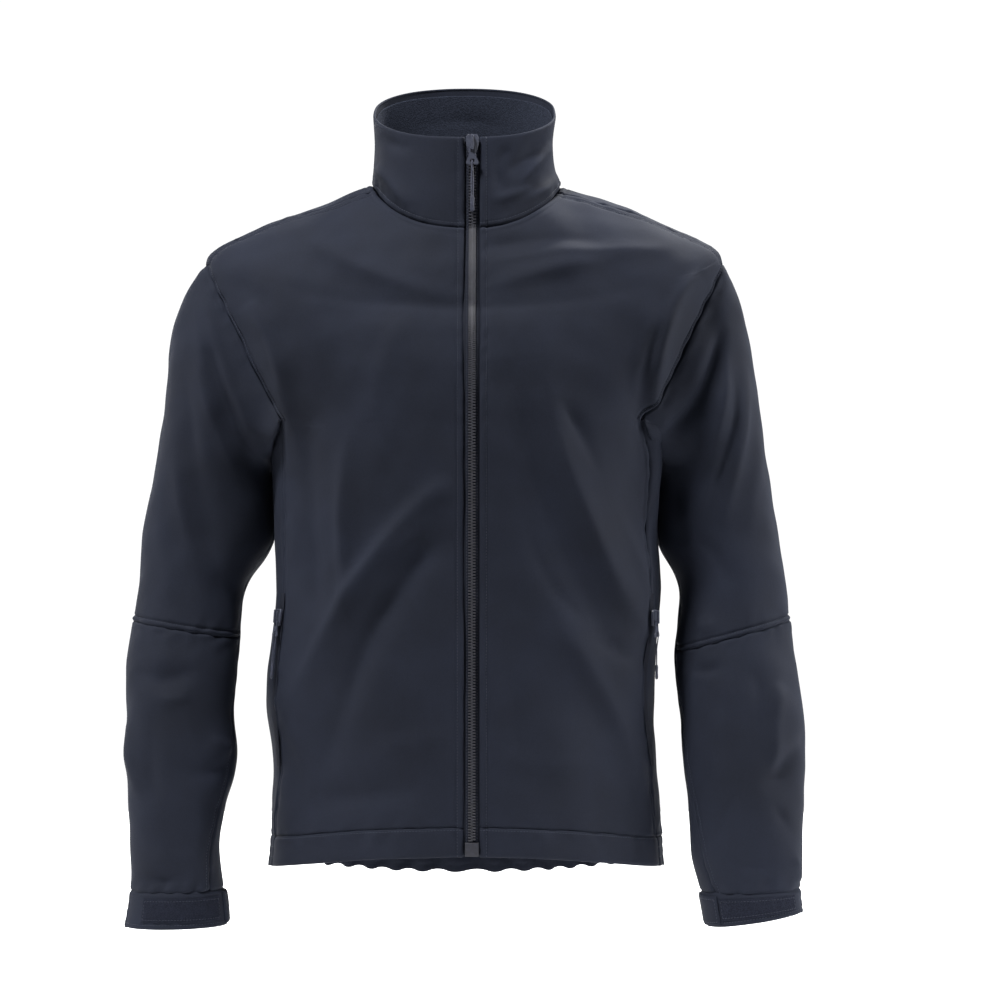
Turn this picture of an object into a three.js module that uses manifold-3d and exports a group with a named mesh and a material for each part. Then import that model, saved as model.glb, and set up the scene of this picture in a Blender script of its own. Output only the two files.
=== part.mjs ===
// A man's softshell jacket, filled out as if worn, zipped to the top, with its sleeves hanging.
// Millimetres: +X is the wearer's left, -Y the front, +Z up. The origin is in the middle of the
// neck, level with the points where the shoulders meet the collar.
// Every piece is a thin wall over one of three surfaces: the body, the collar and each sleeve.
// A table gives each surface's rings, and the pieces are cut from it along named seams.
import * as THREE from "three";
import { mergeVertices } from "three/addons/utils/BufferGeometryUtils.js";
import Module from "manifold-3d";

const wasm = await Module();
wasm.setup();

// Driving dimensions
const CLOTH = 1.8; // bonded softshell, with its fleece back
const HEM_CLOTH = 2.4; // the same cloth folded and stitched
const SEAM_GAP = 0.3;
const ROUNDNESS = 2.3; // the body's and the collar's rings: 2 is an ellipse, more is squarer
const SLEEVE_ROUNDNESS = 2.15;
const ZIP_X = 8; // the zip's line, a little to the wearer's left of the middle
const ZIP_OPENING = 15; // between the fronts' folded edges
const CHAIN_WIDTH = 7;
const CHAIN_DEPTH = 3;
const TAPE_DEPTH = 0.8;
const HEM_SEAM = 30; // the hem bands' height
const NECK_SEAM = 785; // along the side, from the hem's edge to the collar
const SHOULDER_POINT = 598;
const CAP_LENGTH = 190; // from the armhole to the upper arm's ring
const ELBOW_SEAM = 165; // from there down the sleeve
const CUFF_SEAM = 432;
const CUFF_EDGE = 468;
const COLLAR_SLOPE = 90; // the collar's height along its cloth

// The body's rings, from the hem's edge to the neck. s runs up the side. front, side and back
// are the ring's heights there, half its half width, shift its middle, chest and spine its
// reach to the front and back, and bow how fast it rises from the side to the middle.
const BODY = [
  { s: 0, front: -657, side: -677, back: -700, half: 198, shift: 0.5, chest: 138, spine: 128, bow: 2 },
  { s: 30, front: -629, side: -648, back: -671, half: 195, shift: 1, chest: 139, spine: 129, bow: 2 },
  { s: 101, front: -562, side: -576, back: -596, half: 191, shift: 0.5, chest: 140, spine: 130, bow: 2 },
  { s: 165, front: -500, side: -512, back: -527, half: 193, shift: -5, chest: 138, spine: 127, bow: 2 },
  { s: 275, front: -394, side: -402, back: -411, half: 193, shift: 3, chest: 134, spine: 120, bow: 2 },
  { s: 347, front: -324, side: -330, back: -334, half: 192, shift: 1, chest: 133, spine: 121, bow: 2 },
  { s: 405, front: -268, side: -272, back: -272, half: 193.5, shift: 0, chest: 133, spine: 124, bow: 2 },
  { s: 440, front: -234, side: -238, back: -236, half: 197, shift: 0, chest: 132, spine: 125, bow: 2 },
  { s: 469, front: -207, side: -209, back: -205, half: 210, shift: 0, chest: 131, spine: 124, bow: 2 },
  { s: 498, front: -184, side: -180, back: -172, half: 228, shift: 0, chest: 129, spine: 122, bow: 2 },
  { s: 526, front: -164, side: -151, back: -142, half: 239, shift: 0, chest: 126, spine: 119, bow: 2 },
  { s: 551, front: -149, side: -126, back: -117, half: 248, shift: 0, chest: 122, spine: 115, bow: 2 },
  { s: 576, front: -137, side: -101, back: -92, half: 254, shift: 0, chest: 117, spine: 110, bow: 2 },
  { s: 598, front: -128, side: -79, back: -72, half: 257, shift: -1, chest: 112, spine: 104, bow: 1.9 },
  { s: 620, front: -117, side: -66, back: -57, half: 248.5, shift: -1, chest: 109, spine: 101, bow: 1.9 },
  { s: 652, front: -103, side: -49.5, back: -40, half: 218, shift: 1, chest: 105, spine: 97, bow: 1.8 },
  { s: 691, front: -87, side: -33.5, back: -22, half: 183, shift: 2, chest: 100, spine: 91, bow: 1.7 },
  { s: 739, front: -68, side: -16, back: -2, half: 136, shift: 3, chest: 92, spine: 83, bow: 1.5 },
  { s: 785, front: -50, side: 0, back: 15, half: 95, shift: 2, chest: 85, spine: 76, bow: 1.4 },
];

// The collar's rings, from the neck seam to the rim, which tilts down to the front.
const COLLAR = [
  { s: 0, front: -50, side: 0, back: 15, half: 95, shift: 2, chest: 85, spine: 76, bow: 1.4 },
  { s: 22, front: -27, side: 18, back: 38, half: 91, shift: 0, chest: 83.5, spine: 74, bow: 1.25 },
  { s: 50, front: 0, side: 41, back: 66, half: 89.5, shift: -0.5, chest: 81.5, spine: 72, bow: 1.05 },
  { s: 90, front: 39, side: 72, back: 105, half: 92, shift: 0, chest: 80, spine: 70, bow: 0.87 },
];

// The sleeves' rings, from the upper arm to the cuff's edge. outer and inner are the ring's two
// sides seen from the front, out from the middle and up; y and depth are its middle and half
// thickness from front to back. Each sleeve hangs in its own way.
const SLEEVE = {
  left: [
    { s: 0, outerX: 302.5, outerZ: -270, innerX: 193.5, innerZ: -292, y: 26, depth: 72 },
    { s: 64, outerX: 313.5, outerZ: -335, innerX: 194, innerZ: -354, y: 27, depth: 66 },
    { s: 118, outerX: 318.5, outerZ: -387, innerX: 215.5, innerZ: -402, y: 18, depth: 60 },
    { s: 165, outerX: 323.5, outerZ: -435, innerX: 209, innerZ: -466, y: 4, depth: 57 },
    { s: 208, outerX: 329.5, outerZ: -482, innerX: 210.5, innerZ: -497, y: -9, depth: 56 },
    { s: 255, outerX: 335, outerZ: -528, innerX: 215.5, innerZ: -531, y: -20, depth: 54 },
    { s: 305, outerX: 336.5, outerZ: -578, innerX: 217, innerZ: -577, y: -29, depth: 52 },
    { s: 352, outerX: 336, outerZ: -626, innerX: 220.5, innerZ: -623, y: -36, depth: 49 },
    { s: 398, outerX: 334, outerZ: -669, innerX: 224, innerZ: -666, y: -40, depth: 45 },
    { s: 432, outerX: 331.5, outerZ: -697, innerX: 232.5, innerZ: -700, y: -43, depth: 41 },
    { s: 468, outerX: 333.5, outerZ: -719, innerX: 238, innerZ: -734, y: -45, depth: 42 },
  ],
  right: [
    { s: 0, outerX: 309.5, outerZ: -272, innerX: 192.5, innerZ: -294, y: 26, depth: 72 },
    { s: 64, outerX: 323, outerZ: -335, innerX: 192, innerZ: -354, y: 27, depth: 66 },
    { s: 118, outerX: 327.5, outerZ: -388, innerX: 218.5, innerZ: -402, y: 18, depth: 60 },
    { s: 165, outerX: 333, outerZ: -435, innerX: 224.5, innerZ: -452, y: 4, depth: 57 },
    { s: 208, outerX: 337.5, outerZ: -477, innerX: 226, innerZ: -483, y: -9, depth: 56 },
    { s: 255, outerX: 336, outerZ: -523, innerX: 229, innerZ: -525, y: -20, depth: 54 },
    { s: 305, outerX: 335, outerZ: -571, innerX: 226, innerZ: -572, y: -29, depth: 52 },
    { s: 352, outerX: 333.5, outerZ: -618, innerX: 235, innerZ: -616, y: -36, depth: 48 },
    { s: 398, outerX: 332, outerZ: -664, innerX: 241, innerZ: -660, y: -40, depth: 44 },
    { s: 432, outerX: 329.5, outerZ: -699, innerX: 236.5, innerZ: -697, y: -43, depth: 41 },
    { s: 468, outerX: 334, outerZ: -734, innerX: 232, innerZ: -732, y: -45, depth: 42 },
  ],
};

// Seams on the body: the angle is from the side towards the front, in degrees.
const SIDE_SEAM = [
  { s: 0, angle: 15 },
  { s: 101, angle: 19 },
  { s: 165, angle: 22.5 },
  { s: 250, angle: 23 },
  { s: 330, angle: 22.5 },
  { s: 385, angle: 23 },
  { s: 412, angle: 25.5 },
  { s: 440, angle: 30.4 },
];
const SHOULDER_SEAM = [
  { s: 598, angle: 7 },
  { s: 652, angle: 10 },
  { s: 739, angle: 13 },
  { s: 785, angle: 16 },
];
// The armhole, once round: turn 0 is the shoulder point, 90 the front, 180 under the arm.
const ARMHOLE_FOOT = 140; // the turn at which the side seam reaches the armhole
const ARMHOLE = [
  { s: 0, up: 598, angle: 7 },
  { s: 20, up: 588, angle: 11.5 },
  { s: 40, up: 571, angle: 16 },
  { s: 60, up: 549, angle: 19.5 },
  { s: 80, up: 520, angle: 22.8 },
  { s: 100, up: 489, angle: 24.5 },
  { s: 120, up: 461, angle: 26.5 },
  { s: 140, up: 440, angle: 30.4 },
  { s: 160, up: 442.5, angle: 17 },
  { s: 180, up: 446.5, angle: 2 },
  { s: 200, up: 455, angle: -12 },
  { s: 220, up: 471, angle: -22 },
  { s: 240, up: 494, angle: -27.5 },
  { s: 260, up: 519, angle: -29.5 },
  { s: 280, up: 543, angle: -28.5 },
  { s: 300, up: 565, angle: -24.5 },
  { s: 320, up: 581.5, angle: -15.5 },
  { s: 340, up: 592.5, angle: -4 },
  { s: 360, up: 598, angle: 7 },
];
// Seams on the sleeves: the turn is as at the armhole.
const UNDERARM_FRONT = [
  { s: -190, turn: 160 },
  { s: 0, turn: 168 },
  { s: 165, turn: 176 },
  { s: 230, turn: 176 },
  { s: 300, turn: 165 },
  { s: 432, turn: 137 },
];
const UNDERARM_BACK = [
  { s: -190, turn: 220 },
  { s: 165, turn: 224 },
  { s: 432, turn: 222 },
];

// The largest folds. Each runs from one point through another to a third, as x and z seen from
// the front; width is its reach to each side, and height is negative for a trough. The row's
// face says whether it is on the front or the back of its surface.
const BODY_FOLDS = [
  { face: "front", from: [230, -92], through: [186, -178], to: [190, -345], width: 12, height: 8 },
  { face: "front", from: [-208, -120], through: [-180, -186], to: [-160, -275], width: 13, height: 7 },
  { face: "front", from: [76, -185], through: [122, -345], to: [188, -455], width: 16, height: 7 },
  { face: "front", from: [44, -175], through: [86, -335], to: [150, -460], width: 20, height: -5.5 },
  { face: "front", from: [95, -440], through: [140, -512], to: [178, -600], width: 16, height: 5.5 },
  { face: "front", from: [-12, -300], through: [-84, -366], to: [-174, -520], width: 15, height: 7 },
  { face: "front", from: [-6, -350], through: [-70, -415], to: [-140, -575], width: 19, height: -5 },
  { face: "front", from: [-116, -262], through: [-119, -345], to: [-112, -425], width: 12, height: 4.5 },
  { face: "front", from: [-152, -245], through: [-149, -340], to: [-140, -430], width: 18, height: -5.5 },
  { face: "front", from: [-165, -48], through: [-95, -92], to: [-8, -118], width: 17, height: 4 },
  { face: "front", from: [22, -108], through: [112, -86], to: [210, -66], width: 15, height: 4 },
  { face: "front", from: [-150, -604], through: [-100, -600], to: [-40, -590], width: 17, height: -4 },
  { face: "back", from: [-200, -130], through: [-150, -260], to: [-80, -380], width: 20, height: 5 },
  { face: "back", from: [195, -140], through: [140, -290], to: [60, -400], width: 20, height: 5 },
  { face: "back", from: [-150, -420], through: [0, -450], to: [150, -415], width: 20, height: -4 },
  { face: "back", from: [-120, -540], through: [-20, -560], to: [100, -530], width: 20, height: 3 },
];
const COLLAR_FOLDS = [
  { face: "front", from: [-88, 14], through: [-72, -4], to: [-54, -30], width: 9, height: 2.5 },
  { face: "front", from: [87, 36], through: [76, 20], to: [56, -4], width: 9, height: 3 },
];
// On the sleeves x is out from the body's middle, whichever the side.
const SLEEVE_FOLDS = {
  left: [
    { face: "front", from: [256, -146], through: [233, -210], to: [196, -254], width: 11, height: -7 },
    { face: "front", from: [258, -109], through: [256, -190], to: [238, -290], width: 12, height: 4 },
    { face: "front", from: [278, -175], through: [272, -250], to: [253, -342], width: 12, height: 5 },
    { face: "front", from: [207, -285], through: [208, -320], to: [215, -362], width: 14, height: -4 },
    { face: "front", from: [309, -495], through: [304, -535], to: [304, -575], width: 11, height: 5 },
    { face: "front", from: [338, -548], through: [318, -570], to: [292, -600], width: 11, height: -3 },
    { face: "front", from: [270, -585], through: [254, -620], to: [240, -655], width: 13, height: -3 },
    { face: "back", from: [300, -200], through: [262, -290], to: [215, -380], width: 14, height: 5 },
    { face: "back", from: [225, -455], through: [265, -470], to: [315, -455], width: 12, height: -6 },
    { face: "back", from: [228, -540], through: [270, -560], to: [325, -540], width: 13, height: 4 },
  ],
  right: [
    { face: "front", from: [255, -89], through: [238, -180], to: [205, -262], width: 13, height: 4 },
    { face: "front", from: [252, -164], through: [234, -222], to: [203, -288], width: 12, height: -6 },
    { face: "front", from: [264, -115], through: [256, -175], to: [248, -235], width: 12, height: 4 },
    { face: "front", from: [278, -178], through: [267, -280], to: [238, -416], width: 16, height: -5 },
    { face: "front", from: [324, -480], through: [298, -490], to: [262, -480], width: 13, height: -3.5 },
    { face: "front", from: [292, -570], through: [255, -582], to: [222, -565], width: 13, height: -3 },
    { face: "front", from: [332, -535], through: [328, -570], to: [318, -602], width: 10, height: 4 },
    { face: "back", from: [305, -205], through: [265, -300], to: [220, -395], width: 14, height: 5 },
    { face: "back", from: [232, -460], through: [275, -478], to: [325, -462], width: 12, height: -6 },
    { face: "back", from: [240, -590], through: [280, -605], to: [325, -585], width: 13, height: 4 },
  ],
};

// Gathers
const HEM_WAVES = 26;
const HEM_WAVE_HEIGHT = 2.2;
const CUFF_WAVES = 10;
const CUFF_WAVE_HEIGHT = 1.8;
const CUFF_GATHER = { from: 195, to: 385 }; // the turns between which elastic draws the cuff in

// Colours
const NAVY = 0x23262f;
const SHADE = 0x1c1f27;
const PLASTIC = 0x2c2e3d;
const fabric = () => new THREE.MeshStandardMaterial({ color: NAVY, roughness: 0.85 });
const darkFabric = () => new THREE.MeshStandardMaterial({ color: SHADE, roughness: 0.95 });
const plastic = () => new THREE.MeshStandardMaterial({ color: PLASTIC, roughness: 0.5 });

const jacket = new THREE.Group();
const SIDES = [
  { name: "left", sign: 1 },
  { name: "right", sign: -1 },
];
const radians = THREE.MathUtils.degToRad;
const mix = THREE.MathUtils.lerp;

function addPiece(name, geometry, material) {
  const mesh = new THREE.Mesh(geometry, material);
  mesh.name = name;
  jacket.add(mesh);
}

// Reads one column of a table at s, as a smooth curve through all of its rows.
function read(table, column, s) {
  const last = table.length - 1;
  let row = 0;
  while (row < last - 1 && s > table[row + 1].s) row += 1;
  const slope = (i) => {
    const before = table[Math.max(i - 1, 0)];
    const after = table[Math.min(i + 1, last)];
    return (after[column] - before[column]) / (after.s - before.s);
  };
  const a = table[row];
  const b = table[row + 1];
  const span = b.s - a.s;
  const t = (s - a.s) / span;
  const rise = t * t * (3 - 2 * t);
  const lead = t * (1 - t) * (1 - t) * slope(row);
  const trail = t * t * (t - 1) * slope(row + 1);
  return mix(a[column], b[column], rise) + span * (lead + trail);
}

const signedPower = (value, power) => Math.sign(value) * Math.abs(value) ** power;

// A point of the body or the collar: angle 0 is the wearer's left side, 90 the front.
function ringPoint(table, angle, s) {
  const across = Math.cos(radians(angle));
  const ahead = Math.sin(radians(angle));
  const half = read(table, "half", s);
  const depth = read(table, ahead > 0 ? "chest" : "spine", s);
  const middle = read(table, ahead > 0 ? "front" : "back", s);
  const side = read(table, "side", s);
  return new THREE.Vector3(
    read(table, "shift", s) + half * signedPower(across, 2 / ROUNDNESS),
    -depth * signedPower(ahead, 2 / ROUNDNESS),
    side + (middle - side) * Math.abs(ahead) ** read(table, "bow", s),
  );
}

// The angle at which a ring of the body or the collar is at x, on its front.
function angleAt(table, x, s) {
  const share = (x - read(table, "shift", s)) / read(table, "half", s);
  return THREE.MathUtils.radToDeg(Math.acos(signedPower(share, ROUNDNESS / 2)));
}

// How far folds push a point out, given its smooth surface's normal there.
function foldHeight(folds, x, z, normal) {
  let height = 0;
  for (const fold of folds) {
    const facing = fold.face === "front" ? -normal.y : normal.y;
    if (facing <= 0) continue;
    let nearest = Infinity;
    let place = 0;
    const steps = 24;
    for (let i = 0; i <= steps; i += 1) {
      const t = i / steps;
      const bend = 4 * t * (1 - t);
      const [lineX, lineZ] = [0, 1].map((k) => {
        const bow = fold.through[k] - (fold.from[k] + fold.to[k]) / 2;
        return mix(fold.from[k], fold.to[k], t) + bend * bow;
      });
      const dx = x - lineX;
      const dz = z - lineZ;
      const distance = dx * dx + dz * dz;
      if (distance < nearest) {
        nearest = distance;
        place = t;
      }
    }
    const taper = Math.sin(Math.PI * mix(0.015, 0.985, place)) ** 0.6;
    const fade = THREE.MathUtils.smoothstep(facing, 0, 0.35);
    height += fold.height * taper * fade * Math.exp(-nearest / fold.width ** 2);
  }
  return height;
}

// The normal of a surface given as a function of two numbers.
function normalOf(surface, a, b, stepA, stepB) {
  const alongA = surface(a + stepA, b).sub(surface(a - stepA, b));
  const alongB = surface(a, b + stepB).sub(surface(a, b - stepB));
  return alongA.cross(alongB).normalize();
}

// The three surfaces, each with its folds: body(angle, s), collar(angle, s), sleeve(turn, s).
function foldedSurface(smooth, folds, stepA, stepB, sign = 1, settle = () => 1) {
  return (a, b) => {
    const point = smooth(a, b);
    const normal = normalOf(smooth, a, b, stepA, stepB).multiplyScalar(sign);
    const height = foldHeight(folds, point.x * sign, point.z, normal) * settle(b);
    return point.addScaledVector(normal, height);
  };
}
const body = foldedSurface((angle, s) => ringPoint(BODY, angle, s), BODY_FOLDS, -0.5, 1);
const collar = foldedSurface((angle, s) => ringPoint(COLLAR, angle, s), COLLAR_FOLDS, -0.5, 1);
const bodyNormal = (angle, s) => normalOf(body, angle, s, -0.5, 1);
const collarNormal = (angle, s) => normalOf(collar, angle, s, -0.5, 1);
const onSide = (sign, angle) => (sign > 0 ? angle : 180 - angle);

// The armhole's rows on the fronts and the back, which the sleeve's first row repeats.
const FRONT_ROWS = 8;
const BACK_ROWS = 11;
function armholeTurns() {
  const turns = [];
  for (let i = 0; i < FRONT_ROWS; i += 1) turns.push((ARMHOLE_FOOT * i) / FRONT_ROWS);
  for (let i = 0; i <= BACK_ROWS; i += 1) turns.push(mix(ARMHOLE_FOOT, 360, i / BACK_ROWS));
  return turns;
}
const ARMHOLE_TURNS = armholeTurns();

function armholeFrame(sign, turn) {
  const at = (t) => {
    const round = (t + 360) % 360;
    const angle = onSide(sign, read(ARMHOLE, "angle", round));
    return { angle, up: read(ARMHOLE, "up", round) };
  };
  const here = at(turn);
  const point = body(here.angle, here.up);
  const normal = bodyNormal(here.angle, here.up);
  const before = at(turn - 2);
  const after = at(turn + 2);
  const along = body(after.angle, after.up).sub(body(before.angle, before.up)).normalize();
  const out = normal.clone().cross(along).normalize().multiplyScalar(sign);
  return { point, normal, out };
}

// Under the arm the sleeve turns back down along the body, so it starts a little further out.
const UNDERARM_CLEARANCE = 3.6;
const underArm = (turn) => THREE.MathUtils.smoothstep(-Math.cos(radians(turn)), 0.3, 0.75);

// A straight-sided armhole through its rows, just clear of the fronts and the back.
const armholeCorners = Object.fromEntries(
  SIDES.map(({ name, sign }) => [
    name,
    ARMHOLE_TURNS.map((turn) => {
      const { point, normal, out } = armholeFrame(sign, turn);
      const clear = SEAM_GAP * (1 + UNDERARM_CLEARANCE * underArm(turn));
      return point.addScaledVector(out, SEAM_GAP).addScaledVector(normal, clear);
    }),
  ]),
);
function armholePoint(name, turn) {
  const round = ((turn % 360) + 360) % 360;
  let i = 0;
  while (i < ARMHOLE_TURNS.length - 2 && round > ARMHOLE_TURNS[i + 1]) i += 1;
  const share = (round - ARMHOLE_TURNS[i]) / (ARMHOLE_TURNS[i + 1] - ARMHOLE_TURNS[i]);
  return armholeCorners[name][i].clone().lerp(armholeCorners[name][i + 1], share);
}

function sleeveRing(name, sign, turn, s) {
  const table = SLEEVE[name];
  const across = signedPower(Math.cos(radians(turn)), 2 / SLEEVE_ROUNDNESS);
  const ahead = signedPower(Math.sin(radians(turn)), 2 / SLEEVE_ROUNDNESS);
  const between = (outer, inner) => mix(inner, outer, (across + 1) / 2);
  return new THREE.Vector3(
    sign * between(read(table, "outerX", s), read(table, "innerX", s)),
    read(table, "y", s) - read(table, "depth", s) * ahead,
    between(read(table, "outerZ", s), read(table, "innerZ", s)),
  );
}

// The cap runs from the armhole to the first ring, leaving the shoulder outwards and down.
const CAP_START = { out: { left: 0.48, right: 0.8 }, side: 0.12, down: 0.9, under: 0.25 };
function sleeveSmooth(name, sign, turn, s) {
  if (s >= 0) return sleeveRing(name, sign, turn, s);
  const start = armholePoint(name, turn);
  const end = sleeveRing(name, sign, turn, 0);
  const length = start.distanceTo(end);
  const t = 1 + s / CAP_LENGTH;
  const push = Math.sin(radians(turn));
  const away = CAP_START.out[name] + (CAP_START.under - CAP_START.out[name]) * underArm(turn);
  const leave = new THREE.Vector3(sign * away, -CAP_START.side * push, -CAP_START.down);
  leave.setLength(length);
  const arrive = sleeveRing(name, sign, turn, 4).sub(end).setLength(length);
  const rise = t * t * (3 - 2 * t);
  return start
    .lerp(end, rise)
    .addScaledVector(leave, t * (1 - t) * (1 - t))
    .addScaledVector(arrive, t * t * (t - 1));
}
const settleAtArmhole = (s) => THREE.MathUtils.smoothstep(s, -CAP_LENGTH, -CAP_LENGTH * 0.75);
const sleeveSurfaces = Object.fromEntries(
  SIDES.map(({ name, sign }) => {
    const smooth = (turn, s) => sleeveSmooth(name, sign, turn, s);
    const folds = SLEEVE_FOLDS[name];
    const outward = (turn, s) => normalOf(smooth, turn, s, 1, 1).multiplyScalar(sign);
    const surface = (turn, s) => {
      const point = smooth(turn, s);
      const normal = outward(turn, s);
      const height = foldHeight(folds, point.x * sign, point.z, normal);
      return point.addScaledVector(normal, height * settleAtArmhole(s));
    };
    return [name, surface];
  }),
);
// Near the armhole the wall's faces part along the body's own normal, as a mitred seam does,
// but not under the arm, where the sleeve folds back on the body.
const MITRE_LENGTH = 40;
function sleeveNormal(name, sign, turn, s) {
  const normal = normalOf(sleeveSurfaces[name], turn, s, 1, 1).multiplyScalar(sign);
  const near = 1 - THREE.MathUtils.smoothstep(s, -CAP_LENGTH, MITRE_LENGTH - CAP_LENGTH);
  if (near === 0) return normal;
  const seam = armholeFrame(sign, turn).normal;
  const share = near * THREE.MathUtils.smoothstep(seam.dot(normal), -0.2, 0.4);
  return normal.lerp(seam, share).normalize();
}

// A closed wall between two grids of points; both wrap round in their columns if closed is set.
function wallGeometry(outer, inner, closed) {
  const columns = outer.length;
  const rows = outer[0].length;
  const points = [...outer.flat(), ...inner.flat()];
  const index = [];
  const quad = (a, b, c, d) => index.push(a, b, c, a, c, d);
  const at = (face, i, j) => face * columns * rows + (i % columns) * rows + j;
  const steps = closed ? columns : columns - 1;
  for (let i = 0; i < steps; i += 1) {
    for (let j = 0; j < rows - 1; j += 1) {
      quad(at(0, i, j), at(0, i + 1, j), at(0, i + 1, j + 1), at(0, i, j + 1));
      quad(at(1, i, j), at(1, i, j + 1), at(1, i + 1, j + 1), at(1, i + 1, j));
    }
    quad(at(0, i + 1, 0), at(0, i, 0), at(1, i, 0), at(1, i + 1, 0));
    const top = rows - 1;
    quad(at(0, i, top), at(0, i + 1, top), at(1, i + 1, top), at(1, i, top));
  }
  if (!closed) {
    const end = columns - 1;
    for (let j = 0; j < rows - 1; j += 1) {
      quad(at(0, 0, j), at(0, 0, j + 1), at(1, 0, j + 1), at(1, 0, j));
      quad(at(0, end, j + 1), at(0, end, j), at(1, end, j), at(1, end, j + 1));
    }
  }
  const geometry = new THREE.BufferGeometry().setFromPoints(points).setIndex(index);
  if (volume(geometry) < 0) geometry.setIndex(index.reverse());
  return geometry;
}

function volume(geometry) {
  const position = geometry.getAttribute("position");
  const index = geometry.getIndex();
  const [a, b, c] = [new THREE.Vector3(), new THREE.Vector3(), new THREE.Vector3()];
  let sum = 0;
  for (let i = 0; i < index.count; i += 3) {
    a.fromBufferAttribute(position, index.getX(i));
    b.fromBufferAttribute(position, index.getX(i + 1));
    c.fromBufferAttribute(position, index.getX(i + 2));
    sum += a.dot(b.cross(c));
  }
  return sum / 6;
}

// A wall cut from a surface: place(u, v) says where on it, with u and v from 0 to 1.
// top and foot are the heights of its two faces over the surface, and may depend on u and v.
function cutWall({ place, surface, normal, columns, rows, top, foot, closed = false }) {
  const outer = [];
  const inner = [];
  const height = (value, u, v) => (typeof value === "function" ? value(u, v) : value);
  const count = closed ? columns : columns + 1;
  for (let i = 0; i < count; i += 1) {
    const u = i / columns;
    const outerColumn = [];
    const innerColumn = [];
    for (let j = 0; j <= rows; j += 1) {
      const v = j / rows;
      const [a, b] = place(u, v);
      const point = surface(a, b);
      const direction = normal(a, b);
      outerColumn.push(point.clone().addScaledVector(direction, height(top, u, v)));
      innerColumn.push(point.addScaledVector(direction, height(foot, u, v)));
    }
    outer.push(outerColumn);
    inner.push(innerColumn);
  }
  return wallGeometry(outer, inner, closed);
}

// The angle that half a seam gap takes at a place on the body.
function gapAngle(angle, s) {
  const width = body(angle + 0.5, s).distanceTo(body(angle - 0.5, s));
  return SEAM_GAP / 2 / width;
}

// The rows of a panel's outer edge, from the hem to the neck: below the armhole it follows the
// side seam, then its own half of the armhole, then the shoulder seam.
const SIDE_ROWS = 12;
const SHOULDER_ROWS = 6;
function edgeRows(armholeRows, lastTurn, away) {
  const rows = [];
  const seam = (table, s) => {
    const angle = read(table, "angle", s);
    return { s, angle: angle + away * gapAngle(angle, s) };
  };
  const foot = HEM_SEAM + SEAM_GAP / 2;
  for (let i = 0; i < SIDE_ROWS; i += 1) {
    rows.push({ even: i / SIDE_ROWS, ...seam(SIDE_SEAM, mix(foot, 440, i / SIDE_ROWS)) });
  }
  for (let i = 0; i < armholeRows; i += 1) {
    const turn = mix(ARMHOLE_FOOT, lastTurn, i / armholeRows);
    const s = read(ARMHOLE, "up", turn);
    rows.push({ even: 1 + i / armholeRows, s, angle: read(ARMHOLE, "angle", turn) });
  }
  const neck = NECK_SEAM - SEAM_GAP / 2;
  for (let i = 0; i <= SHOULDER_ROWS; i += 1) {
    const share = i / SHOULDER_ROWS;
    rows.push({ even: 2 + share, ...seam(SHOULDER_SEAM, mix(SHOULDER_POINT, neck, share)) });
  }
  return rows;
}

// Away from its edges a panel's rows are evenly spread in each of the three stretches.
function evenRow(even) {
  if (even < 1) return mix(HEM_SEAM + SEAM_GAP / 2, 440, even);
  if (even < 2) return mix(440, SHOULDER_POINT, even - 1);
  return mix(SHOULDER_POINT, NECK_SEAM - SEAM_GAP / 2, even - 2);
}

function buildFronts() {
  const rows = edgeRows(FRONT_ROWS, 0, 1);
  for (const { name, sign } of SIDES) {
    const edgeX = ZIP_X + (sign * ZIP_OPENING) / 2;
    const place = (u, v) => {
      const row = rows[Math.round(v * (rows.length - 1))];
      const s = mix(evenRow(row.even), row.s, u ** 3);
      return [mix(angleAt(BODY, edgeX, s), onSide(sign, row.angle), u), s];
    };
    const options = { place, surface: body, normal: bodyNormal, columns: 12, rows: rows.length - 1 };
    addPiece(`front_${name}`, cutWall({ ...options, top: 0, foot: -CLOTH }), fabric());
  }
}

function buildBack() {
  const rows = edgeRows(BACK_ROWS, 360, -1);
  const place = (u, v) => {
    const row = rows[Math.round(v * (rows.length - 1))];
    const s = mix(evenRow(row.even), row.s, Math.abs(2 * u - 1) ** 3);
    return [mix(row.angle, -180 - row.angle, u), s];
  };
  const options = { place, surface: body, normal: bodyNormal, columns: 20, rows: rows.length - 1 };
  addPiece("back", cutWall({ ...options, top: 0, foot: -CLOTH }), fabric());
}

// The hem: two plain bands in front, and one behind that elastic gathers.
function buildHems() {
  const surface = body;
  const normal = bodyNormal;
  const top = HEM_SEAM - SEAM_GAP / 2;
  const sideAngle = (s) => read(SIDE_SEAM, "angle", s);
  for (const { name, sign } of SIDES) {
    const edgeX = ZIP_X + (sign * ZIP_OPENING) / 2;
    const place = (u, v) => {
      const s = mix(0, top, v);
      const side = sideAngle(s) + gapAngle(sideAngle(s), s);
      return [mix(angleAt(BODY, edgeX, s), onSide(sign, side), u), s];
    };
    const options = { place, surface, normal, columns: 12, rows: 2, top: 0.4 };
    addPiece(`hem_front_${name}`, cutWall({ ...options, foot: 0.4 - HEM_CLOTH }), fabric());
  }
  const place = (u, v) => {
    const s = mix(0, top, v);
    const side = sideAngle(s) - gapAngle(sideAngle(s), s);
    return [mix(side, -180 - side, u), s];
  };
  const wave = (u, v) => {
    const fade = Math.min(1, 8 * Math.min(u, 1 - u)) * (1 - 0.75 * v);
    return HEM_WAVE_HEIGHT * fade * Math.sin(2 * Math.PI * HEM_WAVES * u);
  };
  const back = { place, surface, normal, columns: HEM_WAVES * 4, rows: 1 };
  const foot = (u, v) => wave(u, v) - HEM_CLOTH;
  addPiece("hem_back", cutWall({ ...back, top: wave, foot }), fabric());
}

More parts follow.
